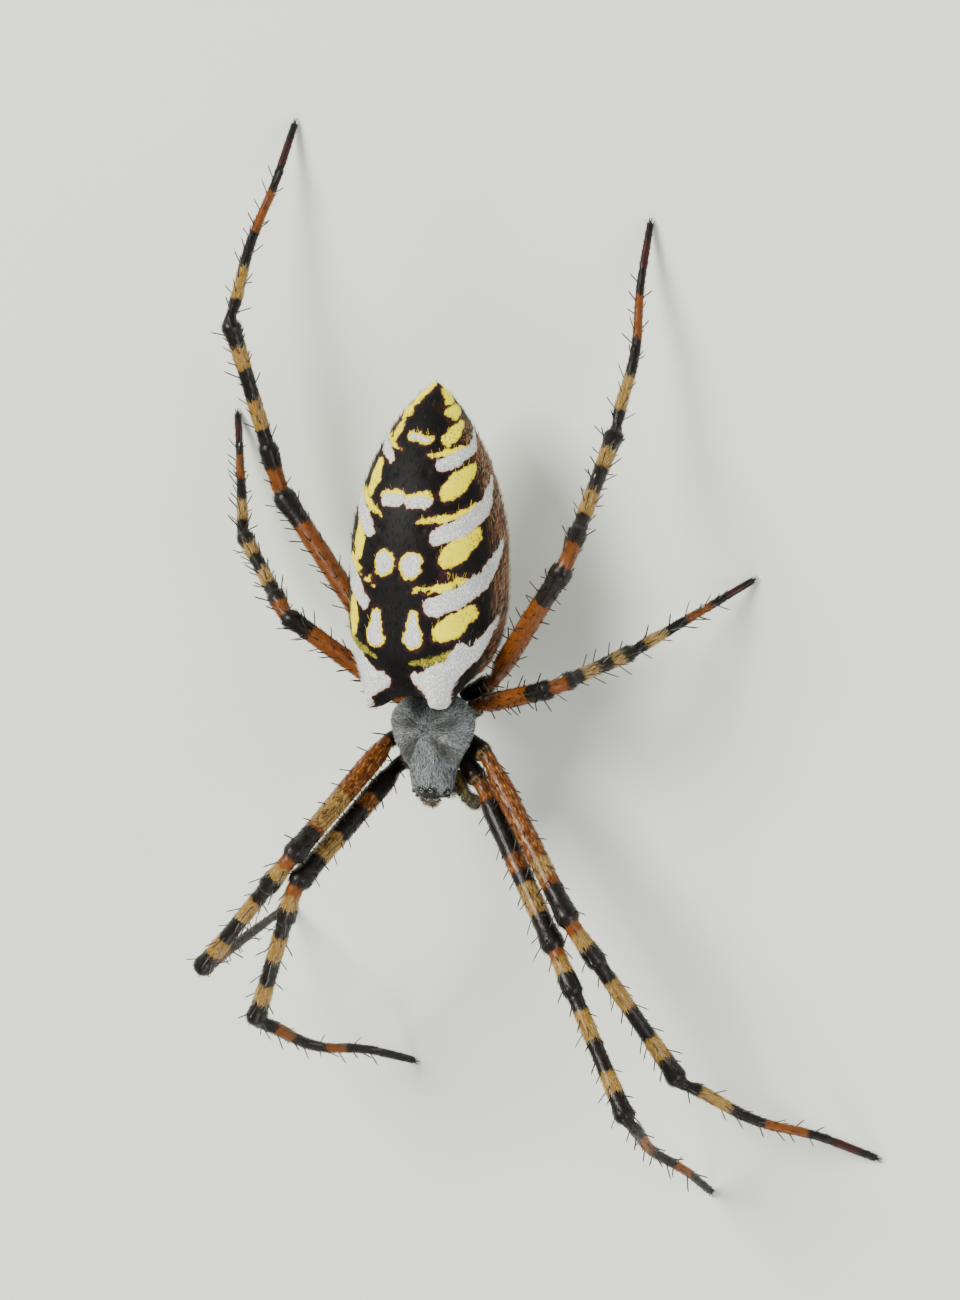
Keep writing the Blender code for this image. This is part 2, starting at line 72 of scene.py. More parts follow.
# %% [markdown]
# ## One small set of helpers
#
# Colours are written as sRGB hex, as a paint chart would, and one function turns them linear. One
# function adds a shader or geometry node with its settings and links, and two more lay out the two
# things that most finishes repeat: a colour over another, and two colours in lumps. The body's own
# origin is the waist line, found from the breastplate, whose middle lies 1 mm in front of it.

# %% Colours, nodes and the body's origin
def linear(hex_code):
    """An sRGB hex colour as linear RGBA."""
    values = [int(hex_code[i:i + 2], 16) / 255 for i in (0, 2, 4)]
    return [v / 12.92 if v <= 0.04045 else ((v + 0.055) / 1.055) ** 2.4 for v in values] + [1.0]


def add(tree, kind, inputs=(), take=None, **settings):
    """Add a node with its settings and links.

    Inputs, listed in order or by name or number, are outputs to link from, hex colours or plain
    values. Take picks the one output that is given back in place of the node.
    """
    node = tree.nodes.new(kind)
    for key, value in settings.items():
        setattr(node, key, value)
    for key, value in inputs.items() if isinstance(inputs, dict) else enumerate(inputs):
        socket = node.inputs[key]
        if isinstance(value, bpy.types.NodeSocket):
            tree.links.new(value, socket)
        else:
            socket.default_value = linear(value) if socket.type == "RGBA" else value
    return node if take is None else node.outputs[take]


# Settings that many nodes share: one colour laid over another by a share, a soft edge that runs
# from nothing at one value to full at the next, a product, and a product with something added.
LAID_OVER = {"data_type": "RGBA", "take": 2}
SOFT_EDGE = {"interpolation_type": "SMOOTHSTEP", "take": 0}
TIMES = {"operation": "MULTIPLY", "take": 0}
TIMES_PLUS = {"operation": "MULTIPLY_ADD", "take": 0}


def lay_colour(tree, under, over, source, low, high, most=1.0):
    """Lay one colour over another where a value passes from low to high, up to the largest share."""
    cover = add(tree, "ShaderNodeMapRange", [source, low, high, 0.0, most], **SOFT_EDGE)
    return add(tree, "ShaderNodeMix", {0: cover, 6: under, 7: over}, **LAID_OVER)


def mottled(tree, lump, dark, light, detail=2.0):
    """Two colours in lumps of a size in millimetres, and the noise that parts them."""
    place = add(tree, "ShaderNodeTexCoord", take="Object")
    size = {"Vector": place, "Scale": 1 / (lump * MM), "Detail": detail}
    lumps = add(tree, "ShaderNodeTexNoise", size, take="Fac")
    return add(tree, "ShaderNodeMix", {0: lumps, 6: dark, 7: light}, **LAID_OVER), lumps


def settle(piece, slot, *nodes):
    """Attach a piece to the root body and hide the solids that it stands for; the slot is not used."""
    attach(piece, "root")
    if nodes:
        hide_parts(*nodes)


sternum_low, sternum_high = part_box("sternum")
WAIST_BEHIND = 1.0 * MM
BODY = np.array([(sternum_low.x + sternum_high.x) / 2, (sternum_low.y + sternum_high.y) / 2, 0])
BODY[1] += WAIST_BEHIND
print("body origin mm:", (BODY / MM).round(3))

# %% [markdown]
# ## Camera, floor and light
#
# The spider is looked at from above and a little to its left, head towards the bottom of the
# frame, as it hangs. A long lens from a metre away keeps the legs' sizes true. The floor is a
# plain pale sheet. A broad lamp stands in for an overcast sky and two weaker ones open up the
# shadows, so gloss reads on the legs and the silver hair keeps its grain.

# %% Camera
VIEW_ROLL = math.radians(25)
VIEW_PITCH = math.radians(5)
VIEW_TALL = 75.4 * MM
VIEW_FROM = 1.0
SENSOR = 36.0
to_camera = Vector((math.sin(VIEW_ROLL) * math.cos(VIEW_PITCH), math.sin(VIEW_PITCH),
                    math.cos(VIEW_ROLL) * math.cos(VIEW_PITCH)))
image_right = Vector((math.cos(VIEW_ROLL), 0, -math.sin(VIEW_ROLL)))
image_up = to_camera.cross(image_right)
AIM_UP, AIM_LEFT = 3.1, 0.4
look_at = Vector(BODY) + image_up * AIM_UP * MM - image_right * AIM_LEFT * MM
camera = bpy.data.objects.new("camera", bpy.data.cameras.new("camera"))
camera.data.sensor_fit = "VERTICAL"
camera.data.sensor_height = SENSOR
camera.data.lens = SENSOR * VIEW_FROM / VIEW_TALL
camera.data.clip_start = 0.05
camera.data.clip_end = 20
turn = Matrix((image_right, image_up, to_camera)).transposed().to_4x4()
camera.matrix_world = Matrix.Translation(look_at + to_camera * VIEW_FROM) @ turn
bpy.context.scene.collection.objects.link(camera)
bpy.context.scene.camera = camera

# %% Floor, world and lamps
def lamp(name, place, size, watts, colour):
    """A square soft lamp that faces the body."""
    light = bpy.data.lights.new(name, "AREA")
    light.size = size
    light.energy = watts
    light.color = linear(colour)[:3]
    item = bpy.data.objects.new(name, light)
    item.location = Vector(BODY) + Vector(place)
    item.rotation_euler = Vector(place).to_track_quat("Z", "Y").to_euler()
    bpy.context.scene.collection.objects.link(item)


lamp("sky_lamp", (-0.30, 0.28, 0.55), 0.34, 9.0, "FFFDF6")
lamp("side_lamp", (0.55, -0.10, 0.35), 0.40, 3.2, "F4F8FF")
lamp("head_lamp", (0.05, -0.60, 0.30), 0.30, 2.2, "FFF9EE")
world = bpy.data.worlds.new("pale_room")
world.use_nodes = True
air = world.node_tree.nodes["Background"].inputs
air["Color"].default_value = linear("EEF1EC")
air["Strength"].default_value = 0.55
bpy.context.scene.world = world

floor_mesh = bpy.data.meshes.new("floor")
FLOOR_HALF = 1.6
corners = [(x * FLOOR_HALF, y * FLOOR_HALF, 0) for x, y in ((-1, -1), (1, -1), (1, 1), (-1, 1))]
floor_mesh.from_pydata(corners, [], [(0, 1, 2, 3)])
floor = bpy.data.objects.new("floor", floor_mesh)
bpy.context.scene.collection.objects.link(floor)
floor_paper = bpy.data.materials.new("pale_paper")
floor_paper.use_nodes = True
paper = floor_paper.node_tree.nodes["Principled BSDF"].inputs
paper["Base Color"].default_value = linear("D9DDD2")
paper["Roughness"].default_value = 0.9
floor_mesh.materials.append(floor_paper)
print("camera at", [round(v, 3) for v in camera.location])

# %% [markdown]
# ## Skins from rings
#
# Most of a spider is tubes and eggs, so every skin here is a stack of rings closed by a pole at
# each end. Modelling by hand or sculpting would also do, but with rings each point knows how far
# along and how far round it is, and that is what the markings and the lie of the hair need.
# Numbers that vary over a skin are stored on its points by name, and materials read them back.
# The skin's own unwrap runs round as u and along as v.

# %% Build a skin
def unit(vectors):
    """Vectors of length one."""
    return vectors / (np.linalg.norm(vectors, axis=-1, keepdims=True) + 1e-12)


def round_turn(sides):
    """The angles of evenly spaced places round a circle."""
    return 2 * np.pi * np.arange(sides) / sides


def store(mesh, key, values):
    """Keep a number or a direction for every point of a mesh, by name."""
    kind, slot = ("FLOAT_VECTOR", "vector") if values.ndim == 2 else ("FLOAT", "value")
    mesh.attributes.new(key, kind, "POINT").data.foreach_set(slot, values.ravel())


def skin(name, rows, ends, fields, material):
    """A closed skin through rings of points, with a pole at each end and fields stored by name."""
    count, sides = rows.shape[:2]
    points = np.concatenate([rows.reshape(-1, 3), ends])
    ring = np.arange(sides)
    after = (ring + 1) % sides
    start = np.arange(count - 1)[:, None] * sides
    quads = np.stack([start + ring, start + after, start + sides + after, start + sides + ring], -1)
    last = (count - 1) * sides
    first_pole = np.full(sides, count * sides)
    caps = np.concatenate([np.stack([after, ring, first_pole], -1),
                           np.stack([last + ring, last + after, first_pole + 1], -1)])
    level = (np.arange(count) + 1) / (count + 1)
    left = np.broadcast_to(ring / sides, (count - 1, sides))
    right = left + 1 / sides
    low = np.broadcast_to(level[:-1, None], left.shape)
    high = np.broadcast_to(level[1:, None], left.shape)
    quad_uv = np.stack([left, low, right, low, right, high, left, high], -1).reshape(-1, 4, 2)
    u, w = ring / sides, (ring + 1) / sides
    middle = (u + w) / 2
    flat = np.ones(sides)
    cap_uv = np.concatenate([
        np.stack([w, flat * level[0], u, flat * level[0], middle, flat * 0], -1),
        np.stack([u, flat * level[-1], w, flat * level[-1], middle, flat], -1)]).reshape(-1, 3, 2)
    quads = quads.reshape(-1, 4)
    corners = points[quads]
    volume = np.einsum("ij,ij->i", corners[:, 0] - points.mean(0),
                       np.cross(corners[:, 1] - corners[:, 0], corners[:, 3] - corners[:, 0])).sum()
    if volume < 0:
        quads, quad_uv, caps, cap_uv = quads[:, ::-1], quad_uv[:, ::-1], caps[:, ::-1], cap_uv[:, ::-1]
    mesh = bpy.data.meshes.new(name)
    mesh.from_pydata(points.tolist(), [], quads.tolist() + caps.tolist())
    places = mesh.uv_layers.new(name="OFBake")
    places.data.foreach_set("uv", np.concatenate([quad_uv.ravel(), cap_uv.ravel()]).astype(np.float32))
    for key, values in fields.items():
        values = np.asarray(values, float)
        whole = np.concatenate([values.reshape(count * sides, -1), [values[0].reshape(sides, -1).mean(0)],
                                [values[-1].reshape(sides, -1).mean(0)]])
        store(mesh, key, whole if whole.shape[1] == 3 else whole[:, 0])
    mesh.materials.append(material)
    mesh.shade_smooth()
    item = bpy.data.objects.new(name, mesh)
    bpy.context.scene.collection.objects.link(item)
    return item


def smooth(places, values, at):
    """A smooth curve through values at uneven places, read at other places."""
    places, values, at = np.asarray(places, float), np.asarray(values, float), np.asarray(at, float)
    slopes = np.gradient(values, places, axis=0)
    i = np.clip(np.searchsorted(places, at) - 1, 0, len(places) - 2)
    span = places[i + 1] - places[i]
    t = (at - places[i]) / span
    if values.ndim > 1:
        t, span = t[:, None], span[:, None]
    return ((1 + 2 * t) * (1 - t) ** 2 * values[i] + t * (1 - t) ** 2 * span * slopes[i]
            + t * t * (3 - 2 * t) * values[i + 1] - t * t * (1 - t) * span * slopes[i + 1])


def outward(rows):
    """The direction straight out of a skin at each point of its rings."""
    along = np.gradient(rows, axis=0)
    round_it = np.roll(rows, -1, axis=1) - np.roll(rows, 1, axis=1)
    normal = np.cross(round_it, along)
    normal /= np.linalg.norm(normal, axis=2, keepdims=True) + 1e-12
    centre = rows.mean(axis=1, keepdims=True)
    if ((rows - centre) * normal).sum() < 0:
        normal = -normal
    return normal


def lengths_along(points):
    """How far along a line each of its points lies."""
    return np.concatenate([[0], np.cumsum(np.linalg.norm(np.diff(points, axis=0), axis=1))])


def carry(first, tangent):
    """An upward direction carried along a line with no twist, and the direction beside it."""
    up = [first]
    for way in tangent[1:]:
        up.append(unit(up[-1] - way * (up[-1] @ way)))
    up = np.array(up)
    return up, np.cross(tangent, up)


def sweep(line, girth, up, side, angle):
    """Rings round a line, as wide as its girth."""
    across, rise = np.cos(angle)[None, :, None], np.sin(angle)[None, :, None]
    return line[:, None] + (side[:, None] * across + up[:, None] * rise) * girth[:, None, None]


print("the skin maker is ready for", len(solids), "solids")

# %% [markdown]
# ## The coat's maker
#
# Spines, bristles and the silver hair are all one shape: a thin cone that bends as it rises. One
# Geometry Nodes tree makes that cone once, puts a copy at each root, turned to the direction the
# hair lies in, and then makes the copies real. The roots carry the skin's own fields, so coat and
# skin wear the same markings. Each hair is a small patch, at its root, on the skin's own unwrap.

# %% The bristle tree
def bristle_tree():
    """A Geometry Nodes tree that grows a tapered, bent bristle on every root point."""
    tree = bpy.data.node_groups.new("grow_bristles", "GeometryNodeTree")
    face = tree.interface
    face.new_socket("Geometry", in_out="OUTPUT", socket_type="NodeSocketGeometry")
    face.new_socket("Roots", in_out="INPUT", socket_type="NodeSocketGeometry")
    for label, kind, value in (("Steps", "NodeSocketInt", 4), ("Sides", "NodeSocketInt", 3),
                               ("Bend", "NodeSocketFloat", 0.2), ("Tip", "NodeSocketFloat", 0.08),
                               ("Patch", "NodeSocketFloat", 0.003)):
        face.new_socket(label, in_out="INPUT", socket_type=kind).default_value = value
    face.new_socket("Material", in_out="INPUT", socket_type="NodeSocketMaterial")
    given = add(tree, "NodeGroupInput").outputs

    # A line that rises, leans over as it goes and narrows to its tip
    line = add(tree, "GeometryNodeCurvePrimitiveLine", {"End": (0, 0, 1)}, take=0)
    line = add(tree, "GeometryNodeResampleCurve", {"Curve": line, "Count": given["Steps"]}, take=0)
    place = add(tree, "GeometryNodeInputPosition", take=0)
    height = add(tree, "ShaderNodeSeparateXYZ", [place], take="Z")
    square = add(tree, "ShaderNodeMath", [height, height], **TIMES)
    lean = add(tree, "ShaderNodeMath", [square, given["Bend"]], **TIMES)
    shift = add(tree, "ShaderNodeCombineXYZ", {"X": lean}, take=0)
    line = add(tree, "GeometryNodeSetPosition", {"Geometry": line, "Offset": shift}, take=0)
    taper = {"Value": height, "To Min": 1.0, "To Max": given["Tip"]}
    radius = add(tree, "ShaderNodeMapRange", taper, take=0)
    line = add(tree, "GeometryNodeSetCurveRadius", {"Curve": line, "Radius": radius}, take=0)
    ring = {"Resolution": given["Sides"], "Radius": 1.0}
    ring = add(tree, "GeometryNodeCurvePrimitiveCircle", ring, take=0)
    hair = {"Curve": line, "Profile Curve": ring, "Fill Caps": True}
    hair = add(tree, "GeometryNodeCurveToMesh", hair, take=0)
    place = add(tree, "GeometryNodeInputPosition", take=0)
    hair = add(tree, "GeometryNodeStoreNamedAttribute", {"Geometry": hair, "Name": "blade", "Value": place},
               data_type="FLOAT_VECTOR", take=0)

    # A copy at each root, turned and sized by what the root carries, then made real
    read = {}
    for kind, labels in (("FLOAT_VECTOR", ("lie", "up", "root_uv", "blade")), ("FLOAT", ("long", "thick"))):
        for label in labels:
            read[label] = add(tree, "GeometryNodeInputNamedAttribute", {"Name": label}, data_type=kind,
                              take="Attribute")
    axes = {"Primary Axis": read["lie"], "Secondary Axis": read["up"]}
    turned = add(tree, "FunctionNodeAxesToRotation", axes, primary_axis="Z", secondary_axis="X", take=0)
    size = {"X": read["thick"], "Y": read["thick"], "Z": read["long"]}
    size = add(tree, "ShaderNodeCombineXYZ", size, take=0)
    points = add(tree, "GeometryNodeMeshToPoints", {"Mesh": given["Roots"]}, take=0)
    hairs = add(tree, "GeometryNodeInstanceOnPoints",
                {"Points": points, "Instance": hair, "Rotation": turned, "Scale": size}, take=0)
    hairs = add(tree, "GeometryNodeRealizeInstances", {"Geometry": hairs}, take=0)

    # The map of each hair: a small upright patch round its root's place
    centred = add(tree, "ShaderNodeVectorMath", [read["blade"], (0.0, 0.0, -0.5)], operation="ADD", take=0)
    parts = add(tree, "ShaderNodeSeparateXYZ", [centred]).outputs
    patch = add(tree, "ShaderNodeCombineXYZ", {"X": parts["Y"], "Y": parts["Z"]}, take=0)
    patch = {0: patch, "Scale": given["Patch"]}
    patch = add(tree, "ShaderNodeVectorMath", patch, operation="SCALE", take=0)
    patch = add(tree, "ShaderNodeVectorMath", [patch, read["root_uv"]], operation="ADD", take=0)
    hairs = {"Geometry": hairs, "Name": "OFBake", "Value": patch}
    hairs = add(tree, "GeometryNodeStoreNamedAttribute", hairs, data_type="FLOAT2", domain="CORNER", take=0)
    hairs = add(tree, "GeometryNodeSetShadeSmooth", {"Geometry": hairs}, take=0)
    hairs = add(tree, "GeometryNodeSetMaterial", {"Geometry": hairs, "Material": given["Material"]}, take=0)
    add(tree, "NodeGroupOutput", [hairs])
    return tree


BRISTLES = bristle_tree()
ROOT_DEPTH = 0.02 * MM


def grow(name, roots, material, steps=3, sides=3, bend=0.2, tip=0.08):
    """Turn root points, with their fields, into a mesh of bristles."""
    mesh = bpy.data.meshes.new(name + "_roots")
    mesh.from_pydata(roots["place"].tolist(), [], [])
    for key, values in roots.items():
        if key != "place":
            store(mesh, key, np.asarray(values, float))
    seeds = bpy.data.objects.new(name + "_roots", mesh)
    bpy.context.scene.collection.objects.link(seeds)
    modifier = seeds.modifiers.new("grow", "NODES")
    modifier.node_group = BRISTLES
    chosen = {"Steps": steps, "Sides": sides, "Bend": bend, "Tip": tip, "Material": material}
    for socket in BRISTLES.interface.items_tree:
        if socket.name in chosen:
            modifier[socket.identifier] = chosen[socket.name]
    bpy.context.view_layer.update()
    grown = bpy.data.meshes.new_from_object(seeds.evaluated_get(bpy.context.evaluated_depsgraph_get()))
    bpy.data.objects.remove(seeds)
    for spare in ("lie", "up", "root_uv", "long", "thick", "blade"):
        if spare in grown.attributes:
            grown.attributes.remove(grown.attributes[spare])
    grown.name = name
    item = bpy.data.objects.new(name, grown)
    bpy.context.scene.collection.objects.link(item)
    maps = [layer.name for layer in grown.uv_layers]
    print(f"{name}: {len(roots['place'])} bristles, {len(grown.polygons)} faces, maps {maps}")
    return item


def scatter(rows, fields, weights, count, random):
    """Random roots on a skin's rings: place, outward and onward directions, unwrap and fields."""
    rings, sides = rows.shape[:2]
    wide = np.linalg.norm(np.roll(rows, -1, 1) - rows, axis=2)[:-1]
    tall = np.linalg.norm(rows[1:] - rows[:-1], axis=2)
    chance = (wide * tall * weights[:-1]).ravel()
    cell = random.choice(chance.size, count, p=chance / chance.sum())
    i, j = np.unravel_index(cell, wide.shape)
    s, t = random.random(count), random.random(count)
    k = (j + 1) % sides

    def blend(grid):
        grid = np.asarray(grid, float)
        a, b = (s, t) if grid.ndim == 2 else (s[:, None], t[:, None])
        return (grid[i, j] * (1 - a) * (1 - b) + grid[i, k] * (1 - a) * b
                + grid[i + 1, j] * a * (1 - b) + grid[i + 1, k] * a * b)

    along = np.gradient(rows, axis=0)
    along /= np.linalg.norm(along, axis=2, keepdims=True) + 1e-12
    roots = {"place": blend(rows), "out": blend(outward(rows)), "onward": blend(along)}
    roots["root_uv"] = np.stack([(j + t) / sides, (i + s + 1) / (rings + 1), 0 * s], -1)
    roots.update({key: blend(values) for key, values in fields.items()})
    return roots


def lay(roots, rise, spread, length, thickness, random, onward=None):
    """Give each root its lie: onward along the body, lifted by an angle and turned a little aside."""
    out = unit(roots.pop("out"))
    way = roots.pop("onward") if onward is None else onward
    roots.pop("onward", None)
    way = unit(way - out * (way * out).sum(-1, keepdims=True))
    aside = np.cross(out, way)
    count = len(out)
    turn = random.normal(0, math.radians(spread), count)[:, None]
    lift = np.radians(random.uniform(rise[0], rise[1], count))[:, None]
    flat = way * np.cos(turn) + aside * np.sin(turn)
    roots["lie"] = unit(flat * np.cos(lift) + out * np.sin(lift))
    roots["up"] = -out
    roots["long"] = random.uniform(length[0], length[1], count) * MM
    roots["thick"] = random.uniform(thickness[0], thickness[1], count) * MM
    roots["shade"] = random.random(count)
    roots["place"] = roots["place"] - out * ROOT_DEPTH
    return roots


print("bristle tree has", len(BRISTLES.nodes), "nodes")

# %% [markdown]
# ## Leg cuticle, in bands
#
# A spider's leg is a hollow tube of cuticle, hardened chitin with a waxy skin: it is dark and
# glossy, and the pigment lies in bands. Straw and rust bands have ragged edges that run out along
# the hairs. An image could hold that, but a rule is better: each point knows how far inside each
# band it lies, in millimetres, and noise stretched along the leg frays the edge. The same rule
# colours the hair, which is paler and drier than the cuticle under it.

# %% Materials that wear the bands
def new_material(name, roughness, coat=0.0, specular=0.5):
    """A node material with its plain finish set on the shader."""
    material = bpy.data.materials.new(name)
    material.use_nodes = True
    shader = material.node_tree.nodes["Principled BSDF"]
    shader.inputs["Roughness"].default_value = roughness
    shader.inputs["Coat Weight"].default_value = coat
    shader.inputs["Coat Roughness"].default_value = 0.12
    shader.inputs["Specular IOR Level"].default_value = specular
    return material, material.node_tree, shader


def banded(name, roughness, coat, chips, hair):
    """A material in leg bands. Chips are its black, straw, rust, red and dusk colours."""
    material, tree, shader = new_material(name, roughness, coat, 0.22)
    black, straw, rust, red, dusk = chips
    unrolled = add(tree, "ShaderNodeAttribute", attribute_name="unrolled", take="Vector")
    stored = {label: add(tree, "ShaderNodeAttribute", attribute_name=label, take="Fac")
              for label in ("rust", "red", "straw", "shade" if hair else "bloom")}
    grain = {}
    for label, lump, detail, stretch in (("fray", 0.16, 3.0, 0.16), ("patchy", 0.9, 3.0, 0.5),
                                         ("threads", 0.09, 2.0, 0.22), ("scratch", 0.10, 3.0, 0.55)):
        drawn = add(tree, "ShaderNodeVectorMath", [unrolled, (1, 1, stretch)], **TIMES)
        size = {"Vector": drawn, "Scale": 1 / lump, "Detail": detail}
        grain[label] = add(tree, "ShaderNodeTexNoise", size, take="Fac")
    tint = add(tree, "ShaderNodeMix", {0: grain["patchy"], 6: black, 7: dusk}, **LAID_OVER)
    for label, chip, depth in (("rust", rust, 0.62), ("red", red, 0.5), ("straw", straw, 0.62)):
        frayed = add(tree, "ShaderNodeMath", [grain["fray"], depth, -depth / 2], **TIMES_PLUS)
        edge = add(tree, "ShaderNodeMath", [stored[label], frayed], operation="ADD", take=0)
        tint = lay_colour(tree, tint, chip, edge, -0.05, 0.10)
    if hair:
        cover = add(tree, "ShaderNodeMapRange", [stored["straw"], -0.2, 0.2, 0.0, 0.75], **SOFT_EDGE)
        cover = add(tree, "ShaderNodeMath", [stored["shade"], cover], **TIMES)
        tint = add(tree, "ShaderNodeMix", {0: cover, 6: tint, 7: "EBD7A8"}, **LAID_OVER)
    else:
        tint = lay_colour(tree, tint, dusk, grain["fray"], 0.50, 0.72, 0.5)
        lit = add(tree, "ShaderNodeMath", [stored["rust"], stored["straw"]], operation="MAXIMUM", take=0)
        lit = add(tree, "ShaderNodeMapRange", [lit, -0.2, 0.2], **SOFT_EDGE)
        bloom = add(tree, "ShaderNodeMath", [stored["bloom"], lit], **TIMES)
        for low, high, most, chip in ((0.50, 0.40, 0.75, "1E110A"), (0.56, 0.66, 0.6, "B98F58")):
            cover = add(tree, "ShaderNodeMapRange", [grain["threads"], low, high, 0.0, most], **SOFT_EDGE)
            cover = add(tree, "ShaderNodeMath", [bloom, cover], **TIMES)
            tint = add(tree, "ShaderNodeMix", {0: cover, 6: tint, 7: chip}, **LAID_OVER)
        relief = {"Height": grain["scratch"], "Strength": 0.9, "Distance": 0.03 * MM}
        tree.links.new(add(tree, "ShaderNodeBump", relief, take=0), shader.inputs["Normal"])
    tree.links.new(tint, shader.inputs["Base Color"])
    return material


CUTICLE_CHIPS = ("030202", "836223", "703B0C", "2E0D0A", "160C07")
HAIR_CHIPS = ("050404", "A4803A", "7C440F", "42190F", "17100B")
leg_cuticle = banded("leg_cuticle_waxy_chitin", 0.42, 0.12, CUTICLE_CHIPS, hair=False)
leg_hair = banded("leg_hair_fine_setae", 0.5, 0.0, HAIR_CHIPS, hair=True)

# %% Horn black of spines and claws
def horn(name, dark, light, roughness):
    """Hard black cuticle of spines, claws and fangs, a little brown where it is thin."""
    material, tree, shader = new_material(name, roughness, 0.2)
    tint, _ = mottled(tree, 0.35, dark, light)
    tree.links.new(tint, shader.inputs["Base Color"])
    return material


spine_horn = horn("spine_horn_black_chitin", "0D0A09", "2A1A12", 0.32)
claw_horn = horn("claw_horn_black_chitin", "0A0807", "1E120C", 0.25)
print("leg materials:", leg_cuticle.name, leg_hair.name, spine_horn.name)

# %% [markdown]
# ## The legs
#
# Each leg is six tubes end to end. The solids keep them as five nodes, parted by hairline cuts.
# One skin per leg replaces them. Its path and girth are read from the solids themselves: a node's
# triangles are merged, and rings are walked from one end to the other. Curve to Mesh in Geometry
# Nodes could sweep the tube, but rings made in code also pinch at each joint and keep the fields.

# %% Read a leg from its solids
SEGMENTS = ("coxa", "femur", "patella", "tibia", "foot")
RING_SIDES = {"coxa": 10, "femur": 10, "patella": 10, "tibia": 10, "foot": 8}
COAT_DEPTH = 0.03 * MM


def tube_rings(node, sides, near):
    """Centres and radii of a tube's rings, from the end nearest a point."""
    shape = bmesh.new()
    shape.from_mesh(solids[node].data)
    bmesh.ops.remove_doubles(shape, verts=shape.verts, dist=0.001 * MM)
    shape.verts.ensure_lookup_table()
    points = np.array([vertex.co for vertex in shape.verts])
    layer = list(np.argsort(np.linalg.norm(points - near, axis=1))[:sides])
    seen = set(layer)
    rings = []
    while layer:
        centre = points[layer].mean(0)
        rings.append((centre, np.linalg.norm(points[layer] - centre, axis=1).mean()))
        layer = [v for v in {edge.other_vert(shape.verts[index]).index for index in layer
                             for edge in shape.verts[index].link_edges} if v not in seen]
        seen.update(layer)
    shape.free()
    return rings


def leg_path(leg):
    """Ring centres, radii and joints of a whole leg, body to tip."""
    first = np.array([v.co for v in solids[f"{leg}_coxa"].data.vertices])
    middle = first.mean(0)
    axis = np.linalg.svd(first - middle, full_matrices=False)[2][0]
    next_middle = np.mean([v.co for v in solids[f"{leg}_femur"].data.vertices], axis=0)
    near = middle - axis * np.sign(axis @ (next_middle - middle)) * 0.5
    centres, radii, joints = [], [], []
    for segment in SEGMENTS:
        rings = tube_rings(f"{leg}_{segment}", RING_SIDES[segment], near)
        centres += [centre for centre, _ in rings]
        radii += [radius for _, radius in rings]
        joints.append(len(centres) - 1)
        near = centres[-1]
    return np.array(centres), np.array(radii), joints


test_centres, test_radii, test_joints = leg_path("leg_left_4")
print("leg_left_4:", len(test_centres), "rings, joints at", test_joints)
print("its thickest radius is", (test_radii.max() / MM).round(2), "mm")

# %% [markdown]
# ### Bands and joints
#
# Band places are shares of each segment, as a key to the species would list them. The legs of
# the first two pairs have sooty thighs, black or rust, with a golden band before the knee, and the
# last two have clean rust-red thighs. Past the knee all eight repeat the same beat of black, straw
# and rust, but three of the front legs have long feet banded in their own way.

# %% Band key
KNEE_TO_TIP = {
    "patella": {"rust": ((0.0, 0.50),)},
    "tibia": {"straw": ((0.12, 0.36), (0.61, 0.79))},
    "metatarsus": {"straw": ((0.13, 0.34),), "rust": ((0.57, 0.84),)},
    "tarsus": {"red": ((0.0, 0.62),)},
}
THIGHS = {
    "left_1": {"rust": ((0.0, 0.12), (0.44, 0.54)), "straw": ((0.61, 0.79),)},
    "left_2": {"rust": ((0.0, 0.78),), "straw": ((0.62, 0.72),)},
    "left_3": {"rust": ((0.0, 0.77),)},
    "left_4": {"rust": ((0.0, 0.74),)},
    "right_1": {"rust": ((0.30, 0.40),), "straw": ((0.62, 0.80),)},
    "right_2": {"rust": ((0.04, 0.80),), "straw": ((0.50, 0.76),)},
    "right_3": {"rust": ((0.0, 0.79),)},
    "right_4": {"rust": ((0.0, 0.82),)},
}
FEET = {
    "left_1": {"metatarsus": {"rust": ((0.20, 0.48), (0.76, 0.95))}, "tarsus": {}},
    "right_1": {"metatarsus": {"rust": ((0.15, 0.31), (0.58, 0.74))}, "tarsus": {}},
    "right_2": {"metatarsus": {"rust": ((0.16, 0.36),)}, "tarsus": {}},
}
SOCKETS = {"coxa": {"straw": ((0.86, 0.91),)}}
GOLDEN_KNEE = {"patella": {"rust": ((0.0, 0.22),), "straw": ((0.16, 0.52),)}}


def inside_band(along, spans):
    """How far inside the nearest of several spans a distance lies, in millimetres."""
    depth = np.full(along.shape, -5.0)
    for start, end in spans:
        depth = np.maximum(depth, np.minimum(along - start, end - along))
    return depth


# %% Leg skins
LEG_STEP = 0.115 * MM
LEG_ROUND = 22
# The long foot is one solid, and its last joint lies at this share of it.
FOOT_JOINT = 0.78
BANDED_SEGMENTS = ("coxa", "femur", "patella", "tibia", "metatarsus", "tarsus")
# How much each joint is drawn in, body to tip, and the low swelling on both sides of it.
PINCHES = (0.12, 0.13, 0.14, 0.12, 0.08)
PINCH_REACH, SWELL, SWELL_PLACE, SWELL_REACH = 0.11, 0.035, 0.38, 0.20


